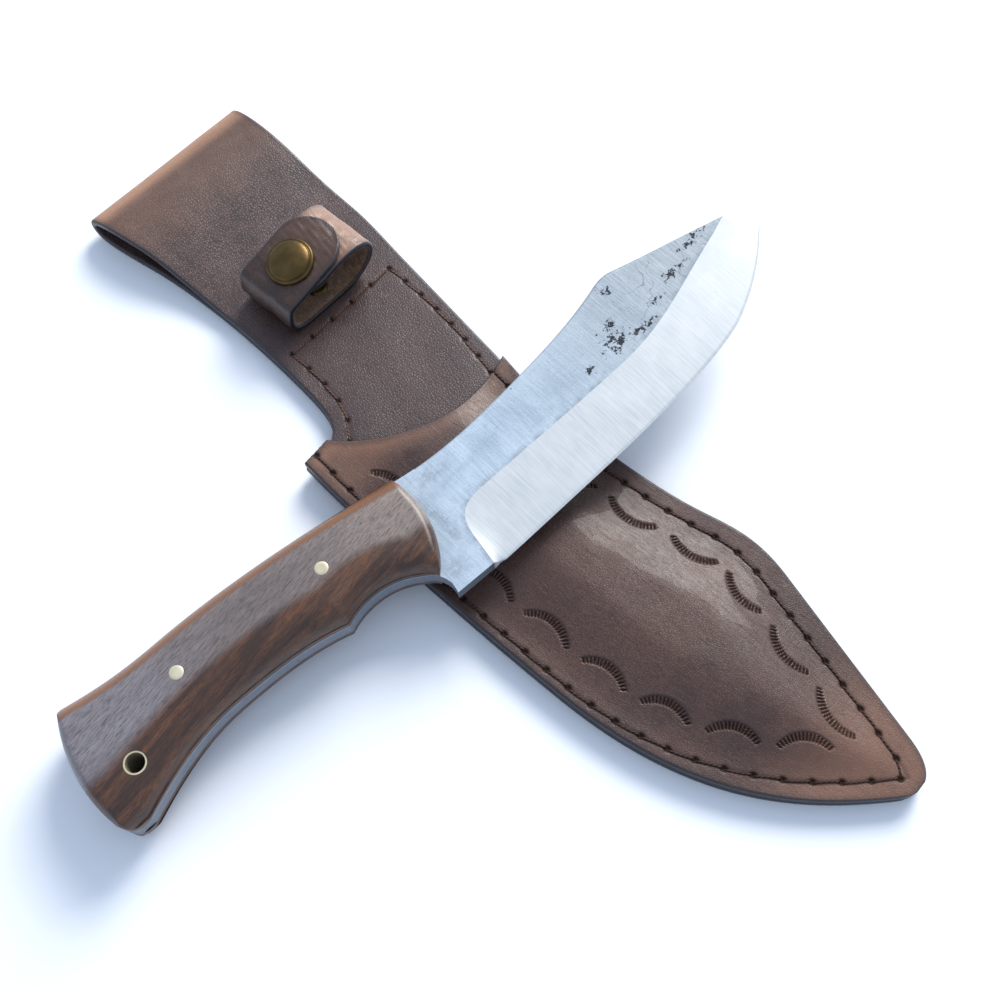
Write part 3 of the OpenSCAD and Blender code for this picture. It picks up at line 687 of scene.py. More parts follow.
def wood_finish(name):
    """Oiled walnut with pores along the grain, a painted grey sheen over the upper crown and a painted
    orange-brown highlight along the spine side.

    It reads place (u, v, w in the knife's frame), bloom and warm (each 0 to 1)."""
    f = Finish(name)
    place = f.vector("place")
    bent = f.stretched(place, (1, 1, 1), (0, 0, math.radians(-9)))
    wave = f.noise(f.stretched(bent, (0.035, 0.35, 0.35)), 1.0, 5, 0.6, 1.0)
    bands = f.noise(f.stretched(bent, (0.012, 0.16, 0.25)), 1.0, 4, 0.6, 2.2)
    fibre = f.noise(f.stretched(bent, (0.3, 3.6, 3.6)), 1.0, 4, 0.75)
    pores = f.noise(f.stretched(bent, (0.35, 4.5, 4.5)), 1.0, 2, 0.6)
    color = f.blend(f.span(bands, 0.35, 0.62), rgb(62, 35, 19), rgb(106, 64, 34))
    color = f.blend(f.span(wave, 0.4, 0.62, 0, 0.4), color, rgb(48, 28, 16))
    color = f.blend(f.span(fibre, 0.35, 0.62, 0.7, 0), color, rgb(36, 22, 15))
    color = f.blend(f.span(fibre, 0.6, 0.85, 0, 0.5), color, rgb(126, 82, 46))
    pore = f.span(pores, 0.62, 0.72)
    color = f.blend(f.times(pore, 0.7), color, rgb(26, 17, 13))
    u = f.split(place, "X")
    # A painted grey sheen over the upper crown, standing for the reflection of a large light.
    bloom_color = f.blend(f.span(u, 18, 50), rgb(142, 137, 141), rgb(130, 119, 115))
    bloom_color = f.blend(f.span(u, 78, 104), bloom_color, rgb(152, 138, 128))
    bloom_color = f.blend(f.span(fibre, 0.3, 0.6, 0.75, 0), bloom_color, rgb(66, 54, 50))
    patchy = f.span(f.plus(wave, f.times(fibre, 0.5)), 0.5, 0.9, 0.95, 0.75)
    cover = f.times(f.value("bloom"), patchy)
    color = f.blend(cover, color, bloom_color)
    color = f.blend(f.times(pore, 0.5), color, rgb(30, 21, 17))
    # A painted orange-brown highlight on the upper roll along the spine side.
    facing = f.span(f.split(place, "Z"), 6.0, 10.5)
    glow = f.times(f.value("warm"), f.times(facing, 0.7))
    color = f.blend(glow, color, rgb(140, 94, 60))
    rough = f.span(fibre, 0.3, 0.7, 0.36, 0.5)
    f.set(Base_Color=color, Roughness=rough, Specular_IOR_Level=0.5, Coat_Weight=0.25, Coat_Roughness=0.3)
    f.relief((f.minus(1.0, pore), 0.08), (fibre, 0.05))
    return f.material


def metal_finish(name, base, shadow, rough, metallic=1.0):
    f = Finish(name)
    blur = f.noise(f.mm, 5, 3, 0.5)
    fine = f.noise(f.stretched(f.mm, (4, 0.6, 1)), 1.0, 3, 0.6)
    color = f.blend(f.span(blur, 0.35, 0.7), shadow, base)
    # Darker in the snap cap's groove as patina, and in the lanyard liner's bore as painted shade.
    color = f.blend(f.span(f.value("sunk"), 0, 1, 0, 0.7), color, rgb(40, 32, 22))
    rough = f.span(fine, 0.3, 0.7, rough - 0.06, rough + 0.08)
    f.set(Base_Color=color, Metallic=metallic, Roughness=rough)
    f.relief((fine, 0.02))
    return f.material


def edge_finish(name):
    """The burnished and dyed edge of stacked leather."""
    f = Finish(name)
    layer = f.noise(f.stretched(f.mm, (0.25, 0.25, 2.5)), 1.0, 4, 0.6)
    color = f.blend(f.span(layer, 0.35, 0.65), rgb(24, 22, 30), rgb(46, 40, 46))
    f.set(Base_Color=color, Roughness=0.6, Specular_IOR_Level=0.35)
    f.relief((layer, 0.12))
    return f.material


neck_leather = leather(
    "neck_leather", rgb(64, 47, 44), rgb(102, 73, 64), rgb(122, 90, 80), rgb(162, 120, 90), 0.9, 0.06, 0.42
)
panel_leather = leather(
    "panel_leather", rgb(72, 46, 36), rgb(96, 64, 51), rgb(116, 82, 67), rgb(134, 94, 72), 0.6, 0.045, 0.47,
    creases=True,
)
strap_leather = leather(
    "strap_leather", rgb(50, 31, 24), rgb(78, 49, 34), rgb(100, 66, 46), rgb(152, 116, 94), 0.5, 0.04, 0.34
)
strap_flesh = flesh("strap_flesh", rgb(170, 126, 86), rgb(70, 46, 32))
burnished = edge_finish("burnished_edge")
dark_thread = thread_finish("dark_thread", rgb(84, 54, 42), rgb(42, 27, 22))
tan_thread = thread_finish("tan_thread", rgb(128, 86, 62), rgb(66, 42, 32))
forged_steel = steel_finish("forged_steel")
walnut = wood_finish("walnut")
# The pins' pale cream is a painted reflection.
pin_brass = metal_finish("pin_brass", rgb(226, 214, 184), rgb(206, 194, 160), 0.4, 0.35)
antique_brass = metal_finish("antique_brass", rgb(106, 86, 54), rgb(90, 72, 44), 0.4)

# ---- sheath back, neck and belt loop ---------------------------------------

LOW, MID, FOLD_TOP = PLY / 2, NECK_Z + PLY / 2, 10.8
RISE_X, FOLD_FOOT_X = -95, -147
TAIL_OPEN_X, TAIL_SIDE_Y = -40, -13
back_path = joined(
    (155.55, LOW),
    (155.2, LOW),
    *[(x, LOW) for x in np.arange(154.0, LIFT_START, -2.0)],
    *[(x, LOW + lift(x)) for x in np.arange(LIFT_START, LIFT_END, -1.0)],
    *[(x, MID) for x in np.arange(LIFT_END, RISE_X, -0.5)],
    bez((RISE_X, MID), (-116, MID), (-124, FOLD_TOP), (-140, FOLD_TOP), 90),
    bez((-140, FOLD_TOP), (-149, FOLD_TOP), (FOLD_X, 9), (FOLD_X, 5.2), 36),
    bez((FOLD_X, 5.2), (FOLD_X, 2), (-152.5, LOW), (FOLD_FOOT_X, LOW), 24),
    *[(x, LOW) for x in np.arange(FOLD_FOOT_X, TAIL_END, 3.0)],
    (TAIL_END - 0.3, LOW),
    (TAIL_END, LOW),
)
FIRST_TAIL = int(np.argmin(back_path[:, 0]))
station = np.arange(len(back_path))
x_at = back_path[:, 0]
in_pocket = (x_at > (WING[0] + NOTCH[0]) / 2) & (station < FIRST_TAIL)
back_low = np.where(in_pocket, lower_y(x_at), neck_y(np.minimum(x_at, NOTCH[0])))
beside_pocket = (station > FIRST_TAIL) & (x_at > TAIL_OPEN_X)
back_low = np.where(beside_pocket, np.maximum(back_low, TAIL_SIDE_Y), back_low)
place, across, rim, face, normal = ply(back_path, back_low, right_y(x_at), PLY, 118, 26)
back_x = place[..., 0]
on_top = (face > 0) & (station[:, None] < FIRST_TAIL)
groove = distance_to(neck_stitch, back_x, across)
hole_gap = hole_distance(neck_holes, back_x, across)
near_seam = on_top & (back_x > NECK_ROW_X - 5.5)
dent = np.where(near_seam, bell(groove, 0.12, 0.6) + bell(hole_gap, 0.4, 0.8), 0)
before_tail = smooth((FIRST_TAIL - station[:, None]) / 24)
wave = 0.16 * ripple(back_x, across, 26, 3) * np.clip(rim / 4, 0, 1) * (face > 0) * before_tail
place = place + normal[:, None, :] * (wave - dent)[..., None]
back_points = closed_ends(np.stack([place[..., 0], across, place[..., 1]], -1))
fold_wear = smooth((-146 - back_x) / 7) * (face > 0)
worn = fold_wear * 0.9 + 0.22 * smooth((-118 - back_x) / 24) * (face > 0)
# Darker from x = -100 towards the mouth: painted shade.
tone = smooth((back_x + 100) / 36) * 0.9
# Stitch holes painted dark: painted shade in the holes.
sunk = np.clip(bell(hole_gap, 1.6, 0.85), 0, 1) * near_seam
piece(
    "sheath_back", back_points.reshape(-1, 3), quads(*back_points.shape[:2], close=True), neck_leather,
    "leather_dark", "sheath", ["back_panel"],
    rim=held(rim), worn=held(worn), sunk=held(sunk), tone=held(tone),
)

# ---- front panel with its stamps -------------------------------------------


def circle_through(a, b, c):
    """Centre and radius of the circle through three points."""
    a, b, c = (np.array(p, float) for p in (a, b, c))
    m = 2 * np.array([b - a, c - a])
    centre = np.linalg.solve(m, [b @ b - a @ a, c @ c - a @ a])
    return centre, np.linalg.norm(a - centre)


def wrapped(angle):
    """An angle brought between -pi and pi."""
    return (angle + math.pi) % (2 * math.pi) - math.pi


STAMP_W, STAMP_DEPTH, TICK_PITCH = 3.1, 0.55, 1.12
STAMP_PITCH, STAMP_REACH, STAMP_BOW, BOW_AT = 21.2, 17.0, 4.1, 0.46
seam_end = int(np.argmax(pocket_stitch[:, 0]))
right_seam = pocket_stitch[: seam_end + 1]
lower_seam = pocket_stitch[seam_end + 1 :][::-1]


def stamp_row(seam, inward, first, count, inset):
    """The ends and the top of the bow of each stamp in a row that follows a seam."""
    row = []
    for k in range(count):
        places = first + STAMP_PITCH * k + STAMP_REACH * np.array((0, BOW_AT, 1))
        ahead = along(seam, places + 1) - along(seam, places - 1)
        ahead /= np.linalg.norm(ahead, axis=1)[:, None]
        inside = inward * np.stack([-ahead[:, 1], ahead[:, 0]], 1)
        row.append(along(seam, places) + inside * (inset + STAMP_BOW * np.array((0, 1, 0)))[:, None])
    return row


stamps = stamp_row(right_seam, -1, 12.5, 7, 7.0) + stamp_row(lower_seam, 1, 15.5, 8, 8.6)


def stamp_press(x, y):
    """Share of the full depth pressed at each point: fans of short radial ticks along arcs."""
    total = np.zeros_like(x)
    for a, b, c in stamps:
        centre, radius = circle_through(a, b, c)
        dx, dy = x - centre[0], y - centre[1]
        r = np.hypot(dx, dy)
        middle = math.atan2(b[1] - centre[1], b[0] - centre[0])
        turn = wrapped(np.arctan2(dy, dx) - middle)
        ends = [wrapped(math.atan2(p[1] - centre[1], p[0] - centre[0]) - middle) for p in (a, c)]
        lo, hi = min(ends), max(ends)
        inside = smooth((turn - lo) * radius / 0.5 + 0.5) * smooth((hi - turn) * radius / 0.5 + 0.5)
        share = np.clip((turn - lo) / (hi - lo), 0, 1)
        width = STAMP_W * (0.55 + 0.45 * np.sin(math.pi * share) ** 0.5)
        depth_in = (radius + 0.2 - r) / width
        band = smooth(depth_in * 5 + 0.3) * smooth((1 - depth_in) * 3)
        tick = 0.5 + 0.5 * np.cos(2 * math.pi * turn * radius / TICK_PITCH)
        tick = smooth((tick - 0.25) / 0.5)
        line = bell(r - radius, 0.55, 0.28)
        total = np.maximum(total, inside * np.maximum(band * (0.22 + 0.78 * tick), line))
    return total


wing_edge = joined(*[mix(np.array(WING), np.array(NOTCH), share) for share in (0, 0.33, 0.67)])
panel_left = joined(wing_edge, mouth)
left_share = (panel_left[:, 1] - lower_y(panel_left[:, 0])) / (
    right_y(panel_left[:, 0]) - lower_y(panel_left[:, 0])
)
left_share = np.maximum.accumulate(np.clip(left_share, 0, 1))
left_share[0], left_share[-1] = 0, 1

END_GAP = 0.25
PANEL_END = TIP[0] - END_GAP
across_share = shares(68.0, 215)
left_x = np.interp(across_share, left_share, panel_left[:, 0])
run = shares(190.0, 620)
panel_x = left_x[:, None] + (PANEL_END - left_x)[:, None] * run[None]
low_y, high_y = lower_y(panel_x), right_y(panel_x)
panel_y = low_y + (high_y - low_y) * across_share[:, None]
side_gap = np.minimum(high_y - panel_y, panel_y - low_y)
mouth_gap = distance_to(panel_left, panel_x, panel_y)
mouth_gap[:, 0] = 0
tip_gap = PANEL_END + END_GAP - panel_x
panel_rim = np.minimum(np.minimum(side_gap, mouth_gap), np.maximum(tip_gap, 0.0))
seam = distance_to(pocket_stitch, panel_x, panel_y)
hole_gap = hole_distance(pocket_holes, panel_x, panel_y)
press = stamp_press(panel_x, panel_y)
seam_dent = bell(seam, 0.14, 0.65) + bell(hole_gap, 0.5, 0.85)
swell = 0.12 * ripple(panel_x, panel_y, 30, 11) + 0.05 * ripple(panel_x, panel_y, 9, 12)
panel_z = panel_top(panel_x, panel_y) + swell * np.clip(panel_rim / 5, 0, 1)
panel_z -= rim_drop(panel_rim) + seam_dent + STAMP_DEPTH * press
top_points = np.stack([panel_x, panel_y, panel_z], -1)

rows, cols = panel_x.shape
coarse_i, coarse_j = (
    np.unique(np.append(np.arange(0, n, step), n - 1)) for n, step in ((rows, 5), (cols, 8))
)
under = top_points[np.ix_(coarse_i, coarse_j)].copy()
under[..., 2] = panel_top(under[..., 0], under[..., 1]) - PLY
border = border_ring(rows, cols)
flat_top = top_points.reshape(-1, 3)
wall_top = flat_top[border]
wall_low = wall_top.copy()
wall_low[:, 2] = panel_top(wall_low[:, 0], wall_low[:, 1]) - PLY
n_top, n_wall = len(flat_top), len(border)
panel_points = np.vstack([flat_top, wall_top, wall_low, under.reshape(-1, 3)])
panel_faces = np.vstack(
    [
        quads(rows, cols, flip=True),
        quads(2, n_wall, n_top, close=True, flip=True),
        quads(len(coarse_i), len(coarse_j), n_top + 2 * n_wall),
    ]
)


def padded_out(values):
    """Values on the grain side, with zeros for the edge and the flesh side."""
    return np.concatenate([values.ravel(), np.zeros(len(panel_points) - n_top)])


mouth_wear, tip_wear = 0.5 * smooth((8 - mouth_gap) / 7), 0.6 * smooth((panel_x - 112) / 30)
wing_wear = 0.4 * smooth((-14 - panel_x) / 10)
edge_wear = np.minimum(mouth_wear + tip_wear + wing_wear, 0.8)
# Stitch holes and the seam groove painted dark as painted shade; the stamps are darkened partly as darker
# tooled leather and partly as painted shade.
hole_dark = bell(hole_gap, 1.6, 0.9) + bell(seam, 0.35, 0.7)
panel_sunk = np.clip(press * 0.7 + hole_dark, 0, 1)
# tone: a band across the panel beneath the knife is painted darker, a painted shadow.
piece(
    "sheath_front", panel_points, panel_faces, panel_leather,
    "leather_tan", "sheath", ["front_panel"], 50,
    rim=padded_out(panel_rim), worn=padded_out(edge_wear), sunk=padded_out(panel_sunk),
    tone=padded_out(0.4 * smooth((66 - panel_x) / 40) * smooth((panel_x + 24) / 20)),
)

# ---- threads ----------------------------------------------------------------


def stitches(name, holes, surface, material, node):
    """One dipping strand from each hole to the next."""
    points, faces, twist = [], [], []
    steps, sides = 14, 10
    turn = np.linspace(0, 2 * math.pi, sides, endpoint=False)
    for k, (a, b) in enumerate(zip(holes[:-1], holes[1:])):
        t = np.linspace(0, 1, steps)
        reach = np.linalg.norm(b - a)
        d = (b - a) / reach
        side = np.array((-d[1], d[0]))
        lean = 0.35 * np.sin(math.pi * t) * (1 if k % 2 else -0.6)
        line = a + np.outer(t, b - a) + np.outer(lean * 0.5 + (t - 0.5) * 0.5, side)
        dip = -1.1 * np.maximum(1 - np.minimum(t, 1 - t) * reach / 1.3, 0) ** 2
        z = surface(line[:, 0], line[:, 1]) + 0.02 + dip
        radius = THREAD_R * (0.85 + 0.15 * np.sin(math.pi * t))
        ring = np.stack(
            [
                line[:, None, 0] + side[0] * np.cos(turn) * radius[:, None],
                line[:, None, 1] + side[1] * np.cos(turn) * radius[:, None],
                z[:, None] + np.sin(turn) * radius[:, None],
            ],
            -1,
        )
        faces.append(quads(steps, sides, sum(len(p) for p in points), close=True))
        points.append(ring.reshape(-1, 3))
        length = np.repeat(t * reach, sides)
        twist.append(np.stack([np.tile(turn, steps), length, np.zeros_like(length)], 1))
    points, faces, twist = (np.vstack(parts) for parts in (points, faces, twist))
    piece(name, points, faces, material, "thread", "sheath", [node], twist=twist)


stitches("pocket_stitches", pocket_holes, panel_top, dark_thread, "pocket_thread")
stitches("neck_stitches", neck_holes, lambda x, y: PLY + lift(x), tan_thread, "neck_thread")

# ---- retaining strap, in (y, z) --------------------------------------------

STRAP_X = -84.6
HINGE = (2.2, 16.4)
LEAF_GAP = 0.5
BASE_Z = NECK_TOP + 0.05 + STRAP_T / 2
BULGE_TOP, LEAF_BEND, LEAF_END = (28.5, 21.1), (14.5, 18.15), (5, 15.6)
FLAP_ROUND_Y, LEAF_ROUND_Y = 19.5, 17.5
inner_leaf = joined(
    bez(BULGE_TOP, (23.5, 21.1), (19, 19.35), LEAF_BEND), resampled(joined(LEAF_BEND, LEAF_END), 24)
)
right_bulge = joined(
    bez((25, BASE_Z), (31, BASE_Z), (37.2, 10.5), (37.2, 15.2)),
    bez((37.2, 15.2), (37.2, 19), (33.5, 21.1), BULGE_TOP),
)
left_bulge = joined(bez(HINGE, (1.2, 12.5), (0.2, BASE_Z), (9, BASE_Z), 36), (9, BASE_Z))
over_leaf = shifted(joined(right_bulge[36:], inner_leaf[:36]), -(STRAP_T + LEAF_GAP))
over_leaf = over_leaf[(over_leaf[:, 0] > 9.05) & (over_leaf[:, 0] < FLAP_ROUND_Y + STRAP_W / 2)]
flap_path = joined(over_leaf, bez(over_leaf[-1], (5.6, 18.3), (2.7, 18.7), HINGE, 30))
JOIN_Y = 24
outer_path = resampled(joined(flap_path, left_bulge, (JOIN_Y + 0.05, BASE_Z)), 220)
inner_path = resampled(joined((JOIN_Y, BASE_Z), right_bulge, inner_leaf), 220)


def half_widths(y, round_y, on_leaf):
    """Half width of the strap at y, rounded off beyond round_y in the direction of the leaf's end."""
    reach = np.clip((y - round_y) * on_leaf, 0, STRAP_W / 2 - 0.05)
    return np.sqrt((STRAP_W / 2) ** 2 - reach**2)


def strap_piece(name, path, half, node, body, free_end, worn_at):
    """One part of the strap, with its flesh side in its own material and a burnt rim at free_end."""
    place, across, rim, face, normal = ply(path, STRAP_X - half, STRAP_X + half, STRAP_T, 40, 30)
    y = place[..., 0]
    wrinkle = 0.10 * ripple(across, y * 1.5, 3.2, 21) + 0.18 * ripple(across, y, 11, 22)
    place = place + normal[:, None, :] * (wrinkle * np.clip(rim / 2.5, 0, 1) * (face > 0))[..., None]
    points = closed_ends(np.stack([across, place[..., 0], place[..., 1]], -1))
    faces = quads(*points.shape[:2], close=True, flip=True)
    s = run_length(path)
    rim = np.minimum(rim, (s if free_end == "first" else s[-1] - s)[:, None])
    obj = piece(
        name, points.reshape(-1, 3), faces, strap_leather, "strap_tan", body, [node],
        rim=held(rim), worn=held(worn_at(y, place[..., 1]) * (face > 0)),
        sunk=held(0 * rim), tone=held(0 * rim),
    )
    obj.data.materials.append(strap_flesh)
    on_flesh = held(face < 0)[faces].all(1)
    obj.data.polygons.foreach_set("material_index", on_flesh.astype(np.int32))
    return obj


outer_s = run_length(outer_path)
on_flap = outer_s < run_length(flap_path)[-1] * 0.8
outer_half = np.where(on_flap, half_widths(outer_path[:, 0], FLAP_ROUND_Y, 1), STRAP_W / 2)
strap_outer = strap_piece(
    "strap_outer", outer_path, outer_half, "strap_flap", None, "first",
    lambda y, z: 0.15 * smooth((z - 20) / 3),
)
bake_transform(strap_outer)
inner_s = run_length(inner_path)
past = inner_s > run_length(joined((JOIN_Y, BASE_Z), right_bulge))[-1]
inner_half = np.where(past, half_widths(inner_path[:, 0], LEAF_ROUND_Y, -1), STRAP_W / 2)
# The upper part of the loop is painted lighter: a painted highlight.
strap_piece(
    "strap_inner", inner_path, inner_half, "strap", "sheath", "last",
    lambda y, z: 0.9 * smooth((z - 12) / 5),
)

# ---- snap cap ---------------------------------------------------------------


LATHE_SIDES = 72


def turned(profile, sides=LATHE_SIDES):
    """Points of a lathe shape from (radius, height) pairs, and its faces."""
    profile = np.asarray(profile, float)
    angle = np.linspace(0, 2 * math.pi, sides, endpoint=False)
    r, z = profile[:, :1], profile[:, 1:]
    points = np.stack([r * np.cos(angle), r * np.sin(angle), z + 0 * angle], -1)
    return points.reshape(-1, 3), quads(len(profile), sides, close=True)


leaf_tilt = math.atan2(LEAF_BEND[1] - LEAF_END[1], LEAF_BEND[0] - LEAF_END[0])
snap_mid = np.array(
    (
        STRAP_X,
        LEAF_BEND[0] - (STRAP_T + LEAF_GAP) * math.sin(leaf_tilt),
        LEAF_BEND[1] + (STRAP_T + LEAF_GAP) * math.cos(leaf_tilt),
    )
)
snap_axis = np.array((0, -math.sin(leaf_tilt), math.cos(leaf_tilt)))
snap_side = np.array((0, math.cos(leaf_tilt), math.sin(leaf_tilt)))


def on_snap(points):
    return snap_mid + points @ np.stack([(1.0, 0, 0), snap_side, snap_axis])


CAP_R, CAP_H = 7.9, 3.2
seat = STRAP_T / 2 + 0.02
DOME_SHARE, DOME_FOOT = 0.86, 0.46
dome = [
    (CAP_R * DOME_SHARE * math.cos(a), CAP_H * (DOME_FOOT + (1 - DOME_FOOT) * math.sin(a)))
    for a in np.linspace(0.12, math.pi / 2, 22)
]
lip = [
    (CAP_R - 0.9, 0.0), (CAP_R - 0.25, 0.05), (CAP_R, 0.35), (CAP_R, 0.75), (CAP_R - 0.2, 1.1),
    (CAP_R - 0.55, 1.28), (CAP_R - 0.85, 1.22), (CAP_R - 0.98, 1.3),
]
cap_profile = [(r, z + seat) for r, z in [*lip, *dome[:-1], (0.02, CAP_H)]]
cap_points, cap_faces = turned(cap_profile)
groove_gap = np.array([r for r, z in cap_profile]) - CAP_R + 0.95
cap_sunk = np.repeat(bell(groove_gap, 0.6, 0.25), LATHE_SIDES)
piece(
    "cap_dome", on_snap(cap_points), cap_faces, antique_brass, "brass_dark", "strap_flap", ["snap_cap"],
    sunk=cap_sunk,
)

# ---- blade ------------------------------------------------------------------


def upper_v(u):
    return np.interp(u, handle_upper[:, 0], handle_upper[:, 1])


def lower_v(u):
    return np.interp(u, handle_lower[:, 0], handle_lower[:, 1])


def chain(pieces, counts):
    return joined(*[resampled(p, n + 1)[:-1] for p, n in zip(pieces, counts)], pieces[-1][-1])


def cut_path(path, u0, u1):
    """The part of a path between two places along the knife."""
    inner = path[(path[:, 0] > u0) & (path[:, 0] < u1)]
    ends = [np.array((u, np.interp(u, path[:, 0], path[:, 1]))) for u in (u0, u1)]
    return joined(ends[0], inner, ends[1])


upper_all = joined(handle_upper[:-1], blade_spine)
UPPER_CUTS = (BUTT_TOP[0], 107, 110, 114, 119, 242, SPINE_END[0])
PLUNGE_TOP = 121
counts = [150, 16, 24, 60, 190, 12]
lower_chain = chain(
    [
        handle_lower, spike_curve, joined(SPIKE, PLUNGE_FOOT),
        cut_path(grind_line, PLUNGE_FOOT[0], PLUNGE_TOP), cut_path(grind_line, PLUNGE_TOP, GRIND_END[0]),
        joined(GRIND_END, SPINE_END),
    ],
    counts,
)
upper_chain = chain([cut_path(upper_all, *cut) for cut in zip(UPPER_CUTS, UPPER_CUTS[1:])], counts)
q = shares(30.0, 46)
flat_uv = mix(lower_chain[:, None], upper_chain[:, None], q[None, :, None])
butt_points = resampled(butt_edge, 400)
butt_share = (butt_points[:, 1] - BUTT_LOW[1]) / (BUTT_TOP[1] - BUTT_LOW[1])
order = np.argsort(butt_share)
butt_u = np.interp(q, butt_share[order], butt_points[order, 0])
fade = np.clip(1 - (lower_chain[:, 0] - BUTT_LOW[0]) / 18, 0, 1) ** 2
flat_uv[..., 0] += fade[:, None] * (butt_u - mix(BUTT_LOW[0], BUTT_TOP[0], q))[None]
HOLE_R = TUBE_R - 0.3


def open_hole(uv, faces, centre, radius, reach=0.42):
    """Pulls nearby grid points onto a circle and drops the faces inside it."""
    d = uv - np.array(centre)
    r = np.hypot(d[:, 0], d[:, 1])
    close = np.abs(r - radius) < reach
    uv[close] = np.array(centre) + d[close] / r[close, None] * radius
    r[close] = radius
    keep = ~(r[faces] <= radius + 1e-6).all(1)
    return uv, faces[keep]


n_st, n_q = flat_uv.shape[:2]
face_grid = quads(n_st, n_q)
flat_points, face_grid = open_hole(flat_uv.reshape(-1, 2), face_grid, TUBE_AT, HOLE_R)
CHAMFER_FROM = 119
chamfer = np.minimum(rim_drop(np.minimum(q, 1 - q) * 20), 0.25) * (q > 0.5)
root_gap = distance_to(grind_line, *flat_points.T)
top_w = STEEL_T - np.where(flat_points[:, 0] > CHAMFER_FROM, np.tile(chamfer, n_st), 0)
n_flat = len(flat_points)
outline_ring = border_ring(n_st, n_q)[::-1]
rim_uv = flat_points[outline_ring]


def strip(ring, step):
    """Faces between a row of points and the row whose numbers are higher by step."""
    return np.stack([ring[:-1], ring[1:], ring[1:] + step, ring[:-1] + step], 1)


blade_points = [
    np.column_stack([uv, w])
    for uv, w in (
        (flat_points, top_w), (flat_points, STEEL_T - top_w),
        (rim_uv, top_w[outline_ring]), (rim_uv, (STEEL_T - top_w)[outline_ring]),
    )
]
blade_faces = [face_grid, face_grid[:, ::-1] + n_flat]
blade_faces.append(quads(2, len(outline_ring), 2 * n_flat, close=True, flip=True))
flat_total = 2 * n_flat + 2 * len(outline_ring)

root_path = joined(grind_line[:-1], resampled(joined(grind_line[-1], SPINE_END), 6)[:-1], tip_line)
ROOT_N, PLUNGE_N, BEVEL_ROWS, PLUNGE_SHARE = 420, 69, 40, 0.06
total_root, edge_total = run_length(root_path)[-1], run_length(bevel_edge)[-1]
plunge_len = run_length(cut_path(grind_line, PLUNGE_FOOT[0], PLUNGE_TOP + 0.5))[-1]
stations = np.concatenate(
    [
        np.linspace(0, plunge_len, PLUNGE_N, endpoint=False),
        np.linspace(plunge_len, total_root, ROOT_N - PLUNGE_N),
    ]
)
share = np.where(
    stations <= plunge_len,
    PLUNGE_SHARE * stations / plunge_len,
    mix(PLUNGE_SHARE, 1.0, (stations - plunge_len) / (total_root - plunge_len)),
)
root_points, edge_points = along(root_path, stations), along(bevel_edge, share * edge_total)
tip_start = total_root - run_length(tip_line)[-1]
tip_share = np.clip((stations - tip_start) / (total_root - tip_start), 0, 1)
EDGE_HALF, MICRO_AT, MICRO_HALF, TIP_HALF = 0.12, 0.96, 0.42, 0.4
root_half = mix(STEEL_T / 2, TIP_HALF, tip_share)[:, None]
g = np.concatenate(
    [
        np.linspace(0, 0.05, 5, endpoint=False), np.linspace(0.05, 0.955, BEVEL_ROWS - 10),
        np.linspace(0.962, 1, 5),
    ]
)
bevel_uv = mix(root_points[:, None], edge_points[:, None], g[None, :, None])
profile = np.minimum(g / MICRO_AT, 1)
micro = mix(MICRO_HALF, EDGE_HALF, (g - MICRO_AT) / (1 - MICRO_AT))
thick = np.where(g > MICRO_AT, micro, mix(root_half, MICRO_HALF, profile))
thick = np.minimum(thick + 0.16 * np.sin(math.pi * profile), root_half)
bevel_top = np.dstack([bevel_uv, STEEL_T / 2 + thick])
bevel_low = np.dstack([bevel_uv, STEEL_T / 2 - thick])
n_bevel = ROOT_N * len(g)
blade_points += [bevel_top.reshape(-1, 3), bevel_low.reshape(-1, 3)]
bevel_grid = quads(ROOT_N, len(g), flip=True)
blade_faces += [bevel_grid + flat_total, bevel_grid[:, ::-1] + flat_total + n_bevel]
edge_ring = np.arange(ROOT_N) * len(g) + len(g) - 1
tip_ring = np.arange(int(np.argmax(tip_share > 0)) - 1, ROOT_N) * len(g)
start_ring = np.arange(len(g))
blade_faces.append(strip(edge_ring + flat_total, n_bevel))
blade_faces += [strip(ring + flat_total, n_bevel)[:, [0, 3, 2, 1]] for ring in (tip_ring, start_ring)]
blade_local = np.vstack(blade_points)
is_bevel = np.concatenate([np.zeros(flat_total), np.ones(2 * n_bevel)])
root_values = np.concatenate(
    [root_gap, root_gap, root_gap[outline_ring], root_gap[outline_ring], np.zeros(2 * n_bevel)]
)
piece(
    "knife_blade", from_knife(blade_local), np.vstack(blade_faces), forged_steel,
    "steel", "knife", ["blade"], 14,
    place=blade_local, bevel=is_bevel, root=root_values,
)

# ---- handle scales ----------------------------------------------------------

ROLL = 9.5


def scale_full(u):
    return mix(SCALE_T, SCALE_FRONT_T, smooth((u - 70) / 40))


def crown(q):
    r = 1 - np.clip(q, 0, 1)
    return np.sqrt(1 - r * r * r)


row_share, col_share = shares(40.0, 76), shares(115.0, 190)
butt_rows, front_rows = (
    np.stack([np.interp(row_share, np.linspace(0, 1, len(p)), p[:, k]) for k in (0, 1)], 1)
    for p in (resampled(butt_edge, 300), resampled(scale_front, 300))
)
scale_u = mix(butt_rows[None, :, 0], front_rows[None, :, 0], col_share[:, None])
butt_part = (butt_rows[:, 1] - BUTT_LOW[1]) / (BUTT_TOP[1] - BUTT_LOW[1])
front_low, front_high = lower_v(front_rows[:, 0]), upper_v(front_rows[:, 0])
front_part = (front_rows[:, 1] - front_low) / np.maximum(front_high - front_low, 1e-6)
front_part[0], front_part[-1] = 0, 1
part = mix(butt_part[None], front_part[None], smooth(col_share)[:, None])
part[:, 0], part[:, -1] = 0, 1
scale_v = mix(lower_v(scale_u), upper_v(scale_u), part)
scale_v[0] = butt_rows[:, 1]
scale_v[-1] = front_rows[:, 1]
